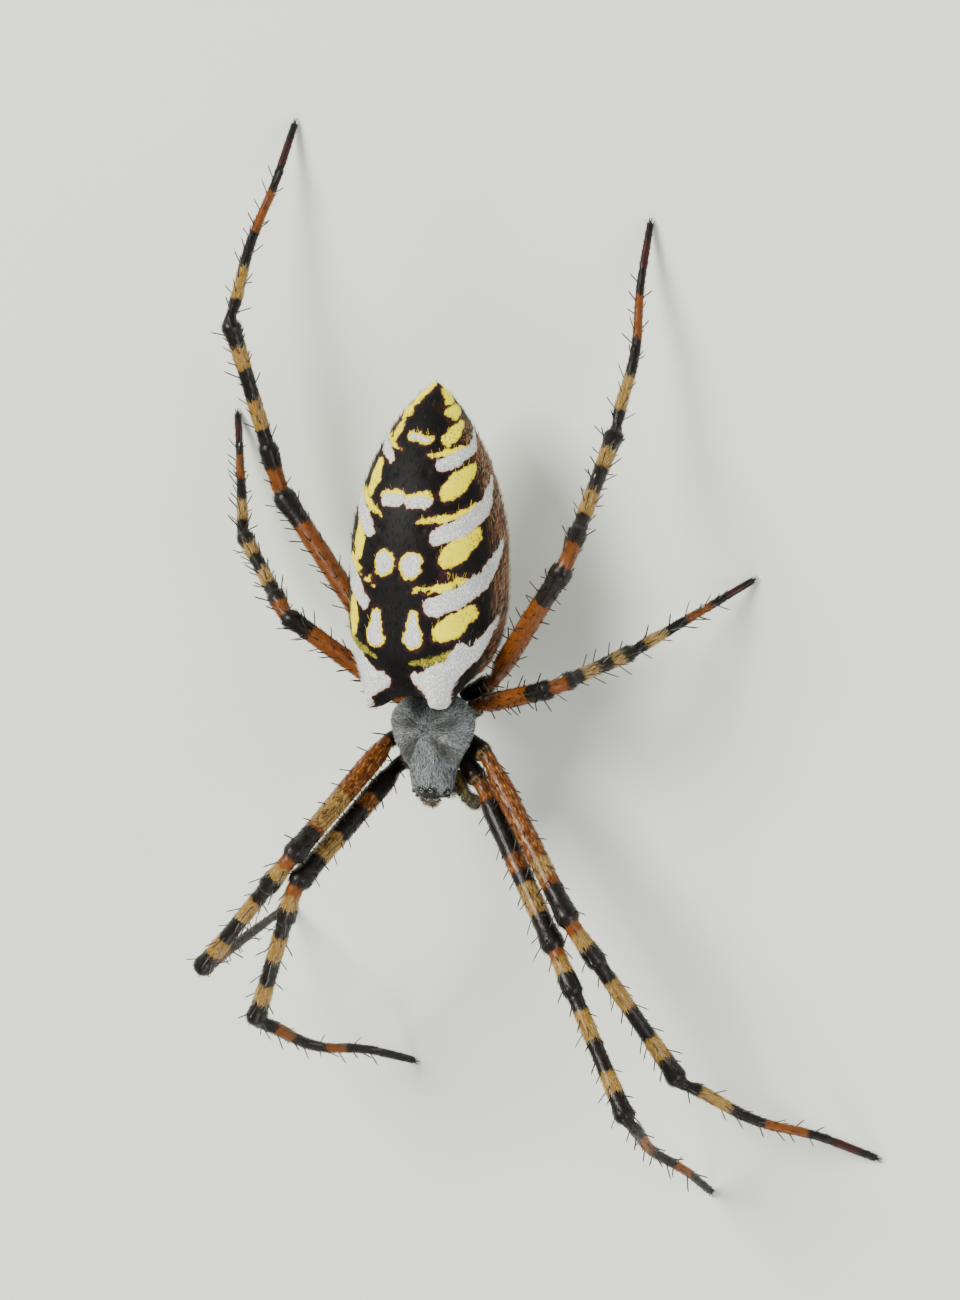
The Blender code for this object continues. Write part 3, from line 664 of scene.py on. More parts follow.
def leg_rows(leg):
    """The rings of one leg's skin with its frame, bands and joints."""
    centres, radii, joints = leg_path(leg)
    centres, radii, joints = centres[:-1], radii[:-1], joints[:-1] + [joints[-1] - 1]
    marks = lengths_along(centres)
    cuts = [marks[joint] for joint in joints]
    cuts.insert(4, cuts[3] + FOOT_JOINT * (cuts[4] - cuts[3]))
    count = int(marks[-1] / LEG_STEP)
    along = np.linspace(0, marks[-1], count)
    line = smooth(marks, centres, along)
    girth = smooth(marks, radii, along) - COAT_DEPTH
    for joint, pinch in zip(cuts, PINCHES):
        off = (along - joint) / MM
        waist = pinch * np.exp(-(off / PINCH_REACH) ** 2)
        lips = SWELL * np.exp(-((np.abs(off) - SWELL_PLACE) / SWELL_REACH) ** 2)
        girth = girth * (1 - waist + lips)
    tangent = unit(np.gradient(line, axis=0))
    up, side = carry(unit(np.array([0, 0, 1.0]) - tangent[0] * tangent[0][2]), tangent)
    angle = round_turn(LEG_ROUND)
    rows = sweep(line, girth, up, side, angle)
    starts = [0] + cuts[:5]
    spans = {"straw": [], "rust": [], "red": []}
    keys = {**KNEE_TO_TIP, **SOCKETS, **FEET.get(leg[4:], {}), "femur": THIGHS[leg[4:]]}
    if leg[-1] in "12":
        keys.update(GOLDEN_KNEE)
    for segment, start, end in zip(BANDED_SEGMENTS, starts, cuts):
        for label, shares in keys.get(segment, {}).items():
            spans[label] += [tuple((start + share * (end - start)) / MM for share in pair) for pair in shares]
    place = along / MM
    ones = np.ones((1, LEG_ROUND))
    fields = {label: inside_band(place, bands)[:, None] * ones for label, bands in spans.items()}
    r = girth[:, None] / MM
    fields["unrolled"] = np.stack([r * np.cos(angle), r * np.sin(angle), place[:, None] * ones], -1)
    sooty = 1.0 if leg[-1] in "12" else 0.12
    fields["bloom"] = sooty * np.clip((cuts[1] - along) / MM / 0.5, 0, 1)[:, None] * ones
    return rows, fields, cuts, tangent, line


LEGS = [f"leg_{side}_{pair}" for side in ("left", "right") for pair in (1, 2, 3, 4)]
leg_shapes = {leg: leg_rows(leg) for leg in LEGS}
for leg, (rows, fields, cuts, tangent, line) in leg_shapes.items():
    tip = line[-1] + tangent[-1] * 0.12 * MM
    tip[2] = max(tip[2], 0.02 * MM)
    piece = skin(f"{leg}_skin", rows, [line[0] - tangent[0] * 0.1 * MM, tip], fields, leg_cuticle)
    settle(piece, "leg_shell", *[f"{leg}_{segment}" for segment in SEGMENTS])
    print(leg, "rings", len(rows), "joints mm", [round(c / MM, 1) for c in cuts])

# %% [markdown]
# ### Spines, hairs and claws
#
# The spines are stout black thorns, a little under a millimetre long, set in rows at about half a
# right angle to the leg and pointing to its tip. Between them the whole leg is clothed in fine hair
# that lies nearly flat, closer set on the foot and shorter towards its end. Each foot ends in a
# pair of curved claws with a third, smaller one between them, which hooks the silk.

# %% Grow the leg hair
def ring_roots(shape, along, angle):
    """Roots on a leg at distances along it and angles round it."""
    rows, fields = shape[0], shape[1]
    total = fields["unrolled"][-1, 0, 2] * MM
    i = np.clip(along / total * (len(rows) - 1), 0, len(rows) - 1.001)
    row = i.astype(int)
    column = np.round(angle / (2 * np.pi) * LEG_ROUND).astype(int) % LEG_ROUND
    out = outward(rows)
    roots = {"place": rows[row, column], "out": out[row, column], "onward": shape[3][row],
             "root_uv": np.stack([column / LEG_ROUND, (row + 1) / (len(rows) + 1), 0 * i], -1)}
    roots.update({key: values[row, column] for key, values in fields.items()})
    return roots


SPINE_ROWS = np.radians([14, 68, 112, 166, 270])
SPINE_GAP = {1: 1.75, 2: 1.65, 3: 1.05, 4: 1.45}
FOOT_GAP = 1.3
HAIRS_PER_LEG = 5200
for number, leg in enumerate(LEGS):
    random = np.random.default_rng(31 + number)
    shape = leg_shapes[leg]
    rows, fields, cuts = shape[:3]
    pair = int(leg[-1])
    along, angle, long = [], [], []
    for part, (start, end) in enumerate(zip(cuts[:4], cuts[1:5])):
        gap = SPINE_GAP[pair] * MM * (FOOT_GAP if part == 3 else 1.0)
        for row, turn in enumerate(SPINE_ROWS):
            if part == 1 and row % 2:
                continue
            spots = np.arange(start + gap * (0.35 + 0.5 * (row % 2)), end - 0.25 * MM, gap)
            spots = spots + random.uniform(-0.22, 0.22, len(spots)) * MM
            along += list(np.clip(spots, start + 0.2 * MM, end - 0.15 * MM))
            angle += list(turn + random.normal(0, 0.16, len(spots)))
    roots = ring_roots(shape, np.array(along), np.array(angle))
    roots = lay(roots, (36, 56), 12, (0.56, 0.94), (0.031, 0.044), random)
    spines = grow(f"{leg}_spines", roots, spine_horn, steps=4, sides=5, bend=-0.10, tip=0.10)
    place = fields["unrolled"][..., 2] * MM
    weights = np.where(place < cuts[0], 0.8, 1.0) * np.where(place > cuts[3], 1.5, 1.0)
    fine = scatter(rows, fields, weights, HAIRS_PER_LEG, random)
    foot = np.clip((fine["unrolled"][:, 2] * MM - cuts[3]) / (cuts[4] - cuts[3]), 0, 1)
    fine = lay(fine, (8, 24), 12, (0.18, 0.36), (0.006, 0.010), random)
    fine["long"] = fine["long"] * (1 - 0.25 * foot)
    hairs = grow(f"{leg}_hair", fine, leg_hair, bend=-0.12, tip=0.15)
    settle(spines, "leg_shell")
    settle(hairs, "leg_shell")

# %% Claws
HOOK_RINGS = 12
# A direction that no hook here points in, so that every hook has a side.
OFF_AXIS = (0.31, 0.52, 0.79)
# Each claw's place aside from the foot's line, its reach and its thickness, in millimetres.
CLAWS = ((0.10, 0.34, 0.045), (-0.10, 0.34, 0.045), (0.0, 0.20, 0.036))
CLAW_TAPER = np.array([1.0, 0.8, 0.5, 0.2])


def hook(points, radii, sides=8):
    """Rings round a short bent path."""
    marks = np.linspace(0, 1, len(points))
    at = np.linspace(0, 1, HOOK_RINGS)
    line, girth = smooth(marks, points, at), smooth(marks, radii, at)
    tangent = unit(np.gradient(line, axis=0))
    up = unit(np.cross(tangent, OFF_AXIS))
    rings = sweep(line, girth, up, np.cross(tangent, up), round_turn(sides))
    return rings, [line[0] - tangent[0] * girth[0], line[-1] + tangent[-1] * girth[-1]]


def join(name, pieces):
    """Several pieces made one."""
    shape = bmesh.new()
    for piece in pieces:
        shape.from_mesh(piece.data)
    mesh = bpy.data.meshes.new(name)
    shape.to_mesh(mesh)
    shape.free()
    for material in pieces[0].data.materials:
        mesh.materials.append(material)
    for piece in pieces:
        bpy.data.objects.remove(piece)
    item = bpy.data.objects.new(name, mesh)
    bpy.context.scene.collection.objects.link(item)
    return item


for leg, (rows, fields, cuts, tangent, line) in leg_shapes.items():
    forward = unit(np.array([tangent[-1][0], tangent[-1][1], 0.0]))
    aside = np.cross([0, 0, 1.0], forward)
    base = line[-1] + tangent[-1] * 0.02 * MM
    claws = []
    for spread, reach, fat in CLAWS:
        out = forward * reach * MM + aside * spread * MM
        low = np.array([0, 0, 1.0]) * (0.03 * MM - base[2])
        path = np.array([base + aside * spread * 0.5 * MM,
                         base + out * 0.55 + low * 0.1 + np.array([0, 0, 0.05 * MM]),
                         base + out * 0.95 + low * 0.45,
                         base + out * 0.92 + low])
        hooked, ends = hook(path, fat * CLAW_TAPER * MM)
        claws.append(skin("claw", hooked, ends, {}, claw_horn))
    settle(join(f"{leg}_claws", claws), "leg_shell")
print("claws:", len(CLAWS) * len(LEGS))

# %% [markdown]
# ## The abdomen
#
# The abdomen is a soft bag of skin with a fine velvet surface: the black is pigment, the silver and
# the yellow are crystals and pigment seen through clear cuticle, so the silver glitters in grains.
# Its shape follows a rule, a blunt egg with a sloped front and two shoulder humps, so the skin is
# that same rule at a finer spacing. Sculpting would lose the exact places of the markings.

# %% Abdomen shape
# Lengths are in millimetres from the middle of its front. Half the width, the rise of the back and
# the drop of the belly each have a pair of powers that say how bluntly they start in front.
TAIL_REACH = 17.58
WIDEST = 0.40
HALF_WIDTH, FLANK_FRONT = 4.66, (3.2, 0.36)
BACK_RISE, BACK_FRONT = 4.15, (6.0, 0.26)
BELLY_DROP, BELLY_FRONT = 4.25, (2.0, 0.50)
REAR_POWERS = (2.0, 0.80)
AXIS_HEIGHT, TAIL_SINK, FRONT_SLANT, SHOULDER = 7.80, 0.90, 0.24, 0.38
HUMP_OUT, HUMP_BACK, HUMP_SPREAD = 2.10, 0.23, 0.64
HUMP_AHEAD, HUMP_HIGH = 1.15, 0.70
FRONT_ROWS, REAR_ROWS, ABDOMEN_ROUND = 84, 140, 216


def girth_share(share, front):
    """The abdomen's girth at a share of its length, as a share of the largest."""
    place = np.where(share < WIDEST, (WIDEST - share) / WIDEST, (share - WIDEST) / (1 - WIDEST))
    first = np.where(share < WIDEST, front[0], REAR_POWERS[0])
    second = np.where(share < WIDEST, front[1], REAR_POWERS[1])
    return np.maximum(0, 1 - np.clip(place, 0, 1) ** first) ** second


def abdomen_rows(share, angle):
    """Points of the abdomen in body millimetres, y from its front."""
    share, angle = share[:, None], angle[None]
    across, upward = np.cos(angle), np.sin(angle)
    forward = np.maximum(0, 1 - share / WIDEST)
    rearward = np.maximum(0, (share - WIDEST) / (1 - WIDEST))
    power = np.where(upward > 0, 1 - SHOULDER * forward, 1.0)
    across = np.sign(across) * np.abs(across) ** power
    rise = np.where(upward > 0, BACK_RISE * girth_share(share, BACK_FRONT) * np.abs(upward) ** power,
                    BELLY_DROP * girth_share(share, BELLY_FRONT) * upward)
    x = HALF_WIDTH * girth_share(share, FLANK_FRONT) * across
    y = TAIL_REACH * share - FRONT_SLANT * forward ** 2 * rise
    z = AXIS_HEIGHT - TAIL_SINK * rearward ** 2 + rise
    near = np.exp(-((np.abs(x) - HUMP_OUT) ** 2 + (y - HUMP_BACK) ** 2) / HUMP_SPREAD)
    near = near * np.clip(2 * upward, 0, 1)
    return np.stack([x, y - HUMP_AHEAD * near, z + HUMP_HIGH * near], -1)


front = np.sin(np.pi / 2 * np.arange(1, FRONT_ROWS) / FRONT_ROWS)
front_shares = WIDEST * (1 - (1 - front ** (1 / FLANK_FRONT[1])) ** (1 / FLANK_FRONT[0]))
rear_shares = WIDEST + (1 - WIDEST) * np.sin(np.pi / 2 * np.arange(REAR_ROWS) / REAR_ROWS)
shares = np.concatenate([front_shares, rear_shares])
shape_mm = abdomen_rows(shares, round_turn(ABDOMEN_ROUND))
print("abdomen skin:", shape_mm.shape[:2], "length mm", round(float(np.ptp(shape_mm[..., 1])), 2))

# %% [markdown]
# ### Markings in bands
#
# The pattern repeats down the back in four bands. On each side, every band has the same three
# marks: a silver bar that slants out and back to the flank, a thin yellow line behind it, and a
# broad yellow blotch behind that. So each mark is laid out once, as a round-ended stroke, and a loop
# repeats it down the back, scaled to the girth there. The sides are nearly mirror images but, as in
# life, not quite: most right-hand marks are smaller, all lie a little further back, and the lines
# and blotches there run more nearly lengthwise.

# %% The marks of one band
# A stroke's stops are its place along the band, its share of the way out to the flank, and its
# half-breadth in millimetres.
BAND_COUNT, FIRST_BAND, BAND_LENGTH, BAND_MIDDLE = 4, 0.75, 4.1, 2.0
LEFT_BAND = {
    "bar": ((0.00, 0.34, 0.56), (0.14, 0.54, 0.66), (0.42, 0.80, 0.58), (0.86, 1.02, 0.26)),
    "line": ((0.24, 0.15, 0.12), (0.29, 0.42, 0.29), (0.44, 0.68, 0.27)),
    "blotch": ((0.71, 0.44, 0.64), (0.82, 0.53, 0.78), (1.02, 0.68, 0.50)),
}
RIGHT_BAND = {
    "bar": ((0.00, 0.32, 0.42), (0.20, 0.46, 0.60), (0.46, 0.66, 0.60), (0.68, 0.86, 0.36)),
    "line": ((0.26, 0.22, 0.14), (0.44, 0.44, 0.26), (0.62, 0.62, 0.28)),
    "blotch": ((0.66, 0.47, 0.46), (0.86, 0.48, 0.64), (1.06, 0.50, 0.42)),
}
RIGHT_LAG = 0.25
print("marks in a band:", ", ".join(LEFT_BAND))


# %% Repeat the band down the back
def half_girth(back):
    """The way from the middle of the back out to the flank, in millimetres."""
    share = np.array(back / TAIL_REACH)
    wide, high = HALF_WIDTH * girth_share(share, FLANK_FRONT), BACK_RISE * girth_share(share, BACK_FRONT)
    return float(np.pi / 2 * np.hypot(wide, high) / np.sqrt(2))


def repeat_band(marks, mark, lag, counts):
    """One mark of the band at each count, as strokes in millimetres back and out."""
    strokes = []
    for count in counts:
        start = FIRST_BAND + BAND_LENGTH * count + lag
        scale = float(girth_share(np.array((start + BAND_MIDDLE) / TAIL_REACH), FLANK_FRONT))
        stops = [(start + BAND_LENGTH * scale * along, share, breadth * scale ** 0.6)
                 for along, share, breadth in marks[mark]]
        strokes.append([(at, share * half_girth(at), breadth) for at, share, breadth in stops])
    return strokes


# %% Humps, tail and middle spots
# Each hump is capped in silver, with lobes down its tip, in towards the middle and out to the bar.
HUMP_CAP = (0.20, 2.95, 1.00)
HUMP_LOBES = ((-1.25, 2.75, 0.66), (0.70, 1.10, 0.46), (2.20, 4.20, 0.66))
TAIL_EDGE = ((17.5, 0.28, 0.20), (16.6, 1.15, 0.40))
TAIL_BLOTCH = ((16.0, 1.40, 0.40), (15.9, 1.75, 0.42))
# Spots lie in pairs beside the middle line: how far out, half-length, half-width, radius ahead,
# radius behind, and how far the yellow edge shows behind. They go from drops to bars to the tail.
FIRST_SPOT, SPOT_STEP, SPOT_RIM = 3.75, 3.57, 0.11
SPOT_PAIRS = (
    (1.22, 0.70, 0.00, 0.66, 0.29, 0.00),
    (0.87, 0.14, 0.04, 0.70, 0.66, 0.00),
    (0.84, 0.00, 0.44, 0.50, 0.50, 0.22),
    (0.27, 0.00, 0.27, 0.27, 0.27, 0.00),
)
BELLY_STRIPE = ((3.4, 1.15, 0.22), (6.0, 1.45, 0.42), (9.5, 1.30, 0.40), (12.6, 0.95, 0.26))


def side_strokes(marks, lag):
    """Every silver, yellow and green stroke of one side of the back."""
    rear = range(1, BAND_COUNT)
    silver = repeat_band(marks, "bar", lag, range(BAND_COUNT))
    silver += [(HUMP_CAP, lobe) for lobe in HUMP_LOBES]
    yellow = repeat_band(marks, "blotch", lag, range(BAND_COUNT)) + repeat_band(marks, "line", lag, rear)
    green = repeat_band(marks, "line", lag, [0])
    for number, (out_by, long, wide, ahead, behind, shift) in enumerate(SPOT_PAIRS):
        middle = FIRST_SPOT + SPOT_STEP * number + lag / 2
        ends = ((middle - long, out_by - wide, ahead), (middle + long, out_by + wide, behind))
        silver.append([(at, across, radius - SPOT_RIM) for at, across, radius in ends])
        yellow.append([(at + shift, across, radius - shift / 2) for at, across, radius in ends])
    yellow += [TAIL_EDGE, TAIL_BLOTCH]
    return {"silver": silver, "yellow": yellow, "green": green}


def inside_strokes(back, out, strokes):
    """How deep points lie inside round-ended strokes, in millimetres."""
    depth = np.full(back.shape, -9.0)
    for stroke in strokes:
        chain = list(zip(stroke, stroke[1:])) or [(stroke[0], stroke[0])]
        for (b0, o0, w0), (b1, o1, w1) in chain:
            length = (b1 - b0) ** 2 + (o1 - o0) ** 2
            t = np.clip(((back - b0) * (b1 - b0) + (out - o0) * (o1 - o0)) / (length or 1.0), 0, 1)
            reach = np.hypot(back - b0 - t * (b1 - b0), out - o0 - t * (o1 - o0))
            depth = np.maximum(depth, w0 + t * (w1 - w0) - reach)
    return depth


# %% Marking fields
# Every place on the back is given by how far back and how far out it lies along the skin. The
# middle line of the pattern leans a little to one side, and the streaked flank lies between two
# heights, given as shares of the full rise.
FULL_RISE = 4.2
top = ABDOMEN_ROUND // 4
steps = np.linalg.norm(np.roll(shape_mm, -1, 1) - shape_mm, axis=2)
run = np.cumsum(np.roll(steps, -top, 1), axis=1)
run = np.concatenate([np.zeros((len(shares), 1)), run[:, :-1]], 1)
whole = run[:, -1:] + np.roll(steps, -top, 1)[:, -1:]
run = np.where(run > whole / 2, run - whole, run)
arc = -np.roll(run, top, 1)
back = shape_mm[..., 1]
lean = np.clip(0.064 * back - 0.65, -0.41, 0.32)
out = arc - lean * np.clip((back - 0.4) / 2.4, 0, 1)
under = whole / 2 - np.abs(arc)
left_side, right_side = side_strokes(LEFT_BAND, 0.0), side_strokes(RIGHT_BAND, RIGHT_LAG)
fields = {label: np.where(out >= 0, inside_strokes(back, out, left_side[label]),
                          inside_strokes(back, -out, right_side[label])) for label in left_side}
fields["yellow"] = np.maximum(fields["yellow"], inside_strokes(back, under, [BELLY_STRIPE]))
sunk = TAIL_SINK * np.clip((back / TAIL_REACH - WIDEST) / (1 - WIDEST), 0, 1) ** 2
height = (shape_mm[..., 2] - AXIS_HEIGHT + sunk) / FULL_RISE
fields["flank"] = np.clip((0.34 - height) / 0.24, 0, 1) * np.clip((height + 1.05) / 0.35, 0, 1)
fields["flank"] *= np.clip((back - 0.1) / 1.0, 0, 1) * np.clip((16.6 - back) / 1.5, 0, 1)
fields["flank"] *= np.clip((under - 2.6) / 0.9, 0, 1)
facing = outward(shape_mm)[..., 1]
brow = (height - 0.62) * FULL_RISE + np.clip(back - 0.3, 0, None) * 4
over_the_front = np.minimum((0.80 + facing) * 1.6, brow)
for label in ("silver", "yellow", "green"):
    fields[label] = np.minimum(fields[label], np.where(back < 3.0, over_the_front, 9.0))
fields["unrolled"] = np.stack([arc, back, under], -1)
print("silver field from", fields["silver"].min().round(1), "to", fields["silver"].max().round(2), "mm")

# %% [markdown]
# ### Velvet, silver and yellow
#
# One material holds all of it. The black is warm and nearly matt, with a faint purple edge
# where it meets a patch. Silver is guanine, tiny crystals, so it gets a grain about a tenth of a
# millimetre across that stands a little proud. Yellow is smooth and waxy with a dusting of rust
# dots. The flanks are streaked lengthwise in brown, black and cream.

# %% Abdomen material
abdomen_velvet, tree, shader = new_material("abdomen_velvet_cuticle", 0.50, 0.0, 0.12)
place = add(tree, "ShaderNodeTexCoord", take="Object")
unrolled = add(tree, "ShaderNodeAttribute", attribute_name="unrolled", take="Vector")
stored = {label: add(tree, "ShaderNodeAttribute", attribute_name=label, take="Fac")
          for label in ("yellow", "silver", "green", "flank")}
grain = {}
for label, lump, detail in (("ragged", 0.22, 4.0), ("scallop", 0.62, 1.0), ("fine", 0.09, 2.0),
                            ("clouds", 1.6, 3.0), ("pores", 0.06, 2.0)):
    size = {"Vector": place, "Scale": 1 / (lump * MM), "Detail": detail}
    grain[label] = add(tree, "ShaderNodeTexNoise", size, take="Fac")
for label, lump, stretch in (("streaks", 0.34, 0.10), ("threads", 0.16, 0.14)):
    drawn = add(tree, "ShaderNodeVectorMath", [unrolled, (1, stretch, 1)], **TIMES)
    size = {"Vector": drawn, "Scale": 1 / lump, "Detail": 3.0}
    grain[label] = add(tree, "ShaderNodeTexNoise", size, take="Fac")

# Velvet, with the streaks of the flank over it
ground = lay_colour(tree, "040303", "0C0908", grain["clouds"], 0.35, 0.75)
brown = lay_colour(tree, "0A0504", "6E3414", grain["streaks"], 0.42, 0.55)
brown = lay_colour(tree, brown, "A88C62", grain["threads"], 0.57, 0.66, 0.8)
brown = lay_colour(tree, brown, "1A100B", grain["threads"], 0.46, 0.36, 0.8)
ground = add(tree, "ShaderNodeMix", {0: stored["flank"], 6: ground, 7: brown}, **LAID_OVER)

# Edges of the marks, scalloped and ragged, with a purple rim
wander = add(tree, "ShaderNodeMath", [grain["scallop"], 1.3, -1.15], **TIMES_PLUS)
wander = add(tree, "ShaderNodeMath", [grain["ragged"], wander], operation="ADD", take=0)
edges = {label: add(tree, "ShaderNodeMath", [wander, 0.32, stored[label]], **TIMES_PLUS)
         for label in ("yellow", "silver", "green")}
rim = add(tree, "ShaderNodeMath", [edges["yellow"], edges["silver"]], operation="MAXIMUM", take=0)
ground = lay_colour(tree, ground, "36141A", rim, -0.22, -0.02, 0.75)

# Green, then waxy yellow with rust dots, then silver flakes, each laid over what is there
moss = lay_colour(tree, "4C480E", "A79C30", grain["fine"], 0.35, 0.65)
spots = add(tree, "ShaderNodeTexVoronoi", {"Vector": place, "Scale": 1 / (0.20 * MM)}, take="Distance")
dots = add(tree, "ShaderNodeMapRange", [spots, 0.34, 0.18], **SOFT_EDGE)
dotted = add(tree, "ShaderNodeMapRange", [grain["clouds"], 0.44, 0.60, 0.0, 0.85], **SOFT_EDGE)
dots = add(tree, "ShaderNodeMath", [dots, dotted], **TIMES)
gold = add(tree, "ShaderNodeMix", {0: grain["fine"], 6: "E4CC00", 7: "FFF400"}, **LAID_OVER)
gold = add(tree, "ShaderNodeMix", {0: dots, 6: gold, 7: "80500A"}, **LAID_OVER)
gold = lay_colour(tree, gold, "8C7410", edges["yellow"], 0.14, 0.02, 0.45)
flakes = add(tree, "ShaderNodeTexVoronoi", {"Vector": place, "Scale": 1 / (0.13 * MM)}, take="Distance")
bright = lay_colour(tree, "C6C8C7", "FAFCFC", grain["fine"], 0.3, 0.7)
bright = lay_colour(tree, bright, "929592", flakes, 0.36, 0.60, 0.6)
bright = lay_colour(tree, bright, "9DA09F", grain["clouds"], 0.45, 0.75, 0.4)
bright = lay_colour(tree, bright, "B9A047", edges["silver"], 0.16, 0.0, 0.6)
tint = lay_colour(tree, ground, moss, edges["green"], -0.10, 0.12)
tint = lay_colour(tree, tint, gold, edges["yellow"], -0.02, 0.05)
tint = lay_colour(tree, tint, bright, edges["silver"], -0.02, 0.05)
tree.links.new(tint, shader.inputs["Base Color"])

# Flakes stand proud inside the silver, and every mark stands a little above the velvet
proud = add(tree, "ShaderNodeMapRange", [flakes, 0.6, 0.1], **SOFT_EDGE)
inside = add(tree, "ShaderNodeMapRange", [edges["silver"], 0.0, 0.12], **SOFT_EDGE)
raised = add(tree, "ShaderNodeMath", [proud, inside], **TIMES)
raised = add(tree, "ShaderNodeMath", [grain["pores"], 0.5, raised], **TIMES_PLUS)
swollen = add(tree, "ShaderNodeMapRange", [rim, -0.05, 0.20], **SOFT_EDGE)
raised = add(tree, "ShaderNodeMath", [swollen, 0.9, raised], **TIMES_PLUS)
bump = add(tree, "ShaderNodeBump", {"Height": raised, "Strength": 0.75, "Distance": 0.05 * MM}, take=0)
tree.links.new(bump, shader.inputs["Normal"])
print("abdomen material nodes:", len(tree.nodes))

# %% Abdomen skin
# Three pairs of dimples in the back show where muscles hold to the skin inside.
ABDOMEN_FRONT = 1.62
DIMPLES = ((5.75, 1.55), (9.35, 1.35), (12.6, 1.0))
DIMPLE_DEPTH = 0.07 * MM
rows = (shape_mm + [0, ABDOMEN_FRONT, 0]) * MM + BODY
rows = rows - outward(rows) * COAT_DEPTH
sunk = np.zeros(back.shape)
for spot_back, spot_out in DIMPLES:
    sunk += np.exp(-((back - spot_back) ** 2 + (np.abs(out) - spot_out) ** 2) / 0.05)
rows = rows - outward(rows) * (DIMPLE_DEPTH * sunk)[..., None]
ends = [rows[0].mean(0), rows[-1].mean(0) + [0, 0.01 * MM, 0]]
abdomen = skin("abdomen_skin", rows, ends, fields, abdomen_velvet)
settle(abdomen, "abdomen_skin", "abdomen")
abdomen_grid, abdomen_fields = rows, fields
print("abdomen faces:", len(abdomen.data.polygons))

# %% [markdown]
# ### Abdomen hair
#
# The abdomen is clothed in very fine hair that lies back towards the tail. On the face of it the
# hair reads as velvet, and along the outline it stands out as a pale fringe, so it is real mesh.

# %% Grow the abdomen hair
def hair_of(name, dark, pale, roughness=0.5, accent=None):
    """Fine hair, each one its own shade between two colours."""
    material, tree, shader = new_material(name, roughness, 0.0, 0.25)
    place = add(tree, "ShaderNodeTexCoord", take="Object")
    patch = add(tree, "ShaderNodeTexNoise", {"Vector": place, "Scale": 1 / (0.8 * MM)}, take="Fac")
    patch = add(tree, "ShaderNodeMath", [patch, 0.6, -0.3], **TIMES_PLUS)
    shade = add(tree, "ShaderNodeAttribute", attribute_name="shade", take="Fac")
    share = add(tree, "ShaderNodeMath", [shade, patch], operation="ADD", take=0)
    tint = lay_colour(tree, dark, pale, share, 0.0, 1.0)
    if accent:
        tone = add(tree, "ShaderNodeAttribute", attribute_name="tone", take="Fac")
        tint = add(tree, "ShaderNodeMix", {0: tone, 6: accent, 7: tint}, **LAID_OVER)
    tree.links.new(tint, shader.inputs["Base Color"])
    return material


def marked_hair(name):
    """Abdomen hair, which takes the colour of the marking that it grows from."""
    material, tree, shader = new_material(name, 0.55, 0.0, 0.2)
    stored = {label: add(tree, "ShaderNodeAttribute", attribute_name=label, take="Fac")
              for label in ("shade", "flank", "yellow", "silver")}
    tint = lay_colour(tree, "0A0807", "4A4238", stored["shade"], 0.88, 1.0)
    tawny = add(tree, "ShaderNodeMix", {0: stored["shade"], 6: "5B3B24", 7: "C2B094"}, **LAID_OVER)
    tint = add(tree, "ShaderNodeMix", {0: stored["flank"], 6: tint, 7: tawny}, **LAID_OVER)
    for label, chip in (("yellow", "F6E800"), ("silver", "E2E4E2")):
        tint = lay_colour(tree, tint, chip, stored[label], -0.02, 0.05)
    tree.links.new(tint, shader.inputs["Base Color"])
    return material


ABDOMEN_HAIRS = 6500
random = np.random.default_rng(77)
velvet_hair = marked_hair("abdomen_hair_fine_setae")
keep = {key: value for key, value in abdomen_fields.items() if key in ("yellow", "silver", "flank")}
roots = scatter(abdomen_grid, keep, 0.6 + 0.8 * abdomen_fields["flank"], ABDOMEN_HAIRS, random)
roots = lay(roots, (12, 34), 16, (0.20, 0.42), (0.007, 0.011), random)
fringe = grow("abdomen_hair", roots, velvet_hair, bend=-0.15, tip=0.15)
settle(fringe, "abdomen_skin")

# %% [markdown]
# ## The carapace
#
# The shield over the front body is one hard plate: a low dome behind, a narrower raised head in
# front, a pit in the middle where the muscles of the stomach hold, and shallow grooves that part head
# from thorax and run out to the legs. It follows the same stations as the solid, finer and with
# the pit, the grooves and the eye mounds pushed in and out of it.

# %% Carapace shape
STATIONS = np.array([
    (1.25, 0.90, 7.15), (0.90, 1.70, 7.55), (0.35, 2.40, 8.00), (-0.35, 2.66, 8.35), (-1.20, 2.50, 8.60),
    (-2.10, 2.10, 8.70), (-2.90, 1.62, 8.66), (-3.60, 1.36, 8.58), (-4.20, 1.27, 8.38), (-4.62, 1.12, 8.05),
    (-4.86, 0.86, 7.70)])
RIM, FLOOR = 7.20, 6.74
# The muscle pit, and the grooves out of it: turn from straight ahead, depth and breadth.
FOVEA, PIT_DEPTH, PIT_SPREAD = np.array([0.0, -0.77]), 0.22, 0.20
GROOVES = ((0.52, 0.20, 0.085), (1.02, 0.08, 0.09), (1.50, 0.11, 0.10), (2.05, 0.09, 0.10))
SHIELD_ROWS, NOSE_ROWS, SHIELD_ROUND = 96, 24, 132
place_y = np.concatenate([np.linspace(1.25, -4.62, SHIELD_ROWS), np.linspace(-4.64, -4.86, NOSE_ROWS)])
half_width = smooth(-STATIONS[:, 0], STATIONS[:, 1], -place_y)[:, None]
crest = smooth(-STATIONS[:, 0], STATIONS[:, 2], -place_y)[:, None]
angle = round_turn(SHIELD_ROUND)[None]
across, upward = np.cos(angle), np.sin(angle)
rise = np.where(crest > RIM, crest - RIM, 0.3 * (crest - FLOOR))
arch = np.sign(across) * np.abs(across) ** 0.85
low_rim = np.minimum(RIM, crest - 0.3 * (crest - FLOOR))
sink = np.minimum(1.0, -2.2 * upward)
x = np.where(upward >= 0, half_width * arch, half_width * across * (1 - 0.14 * sink))
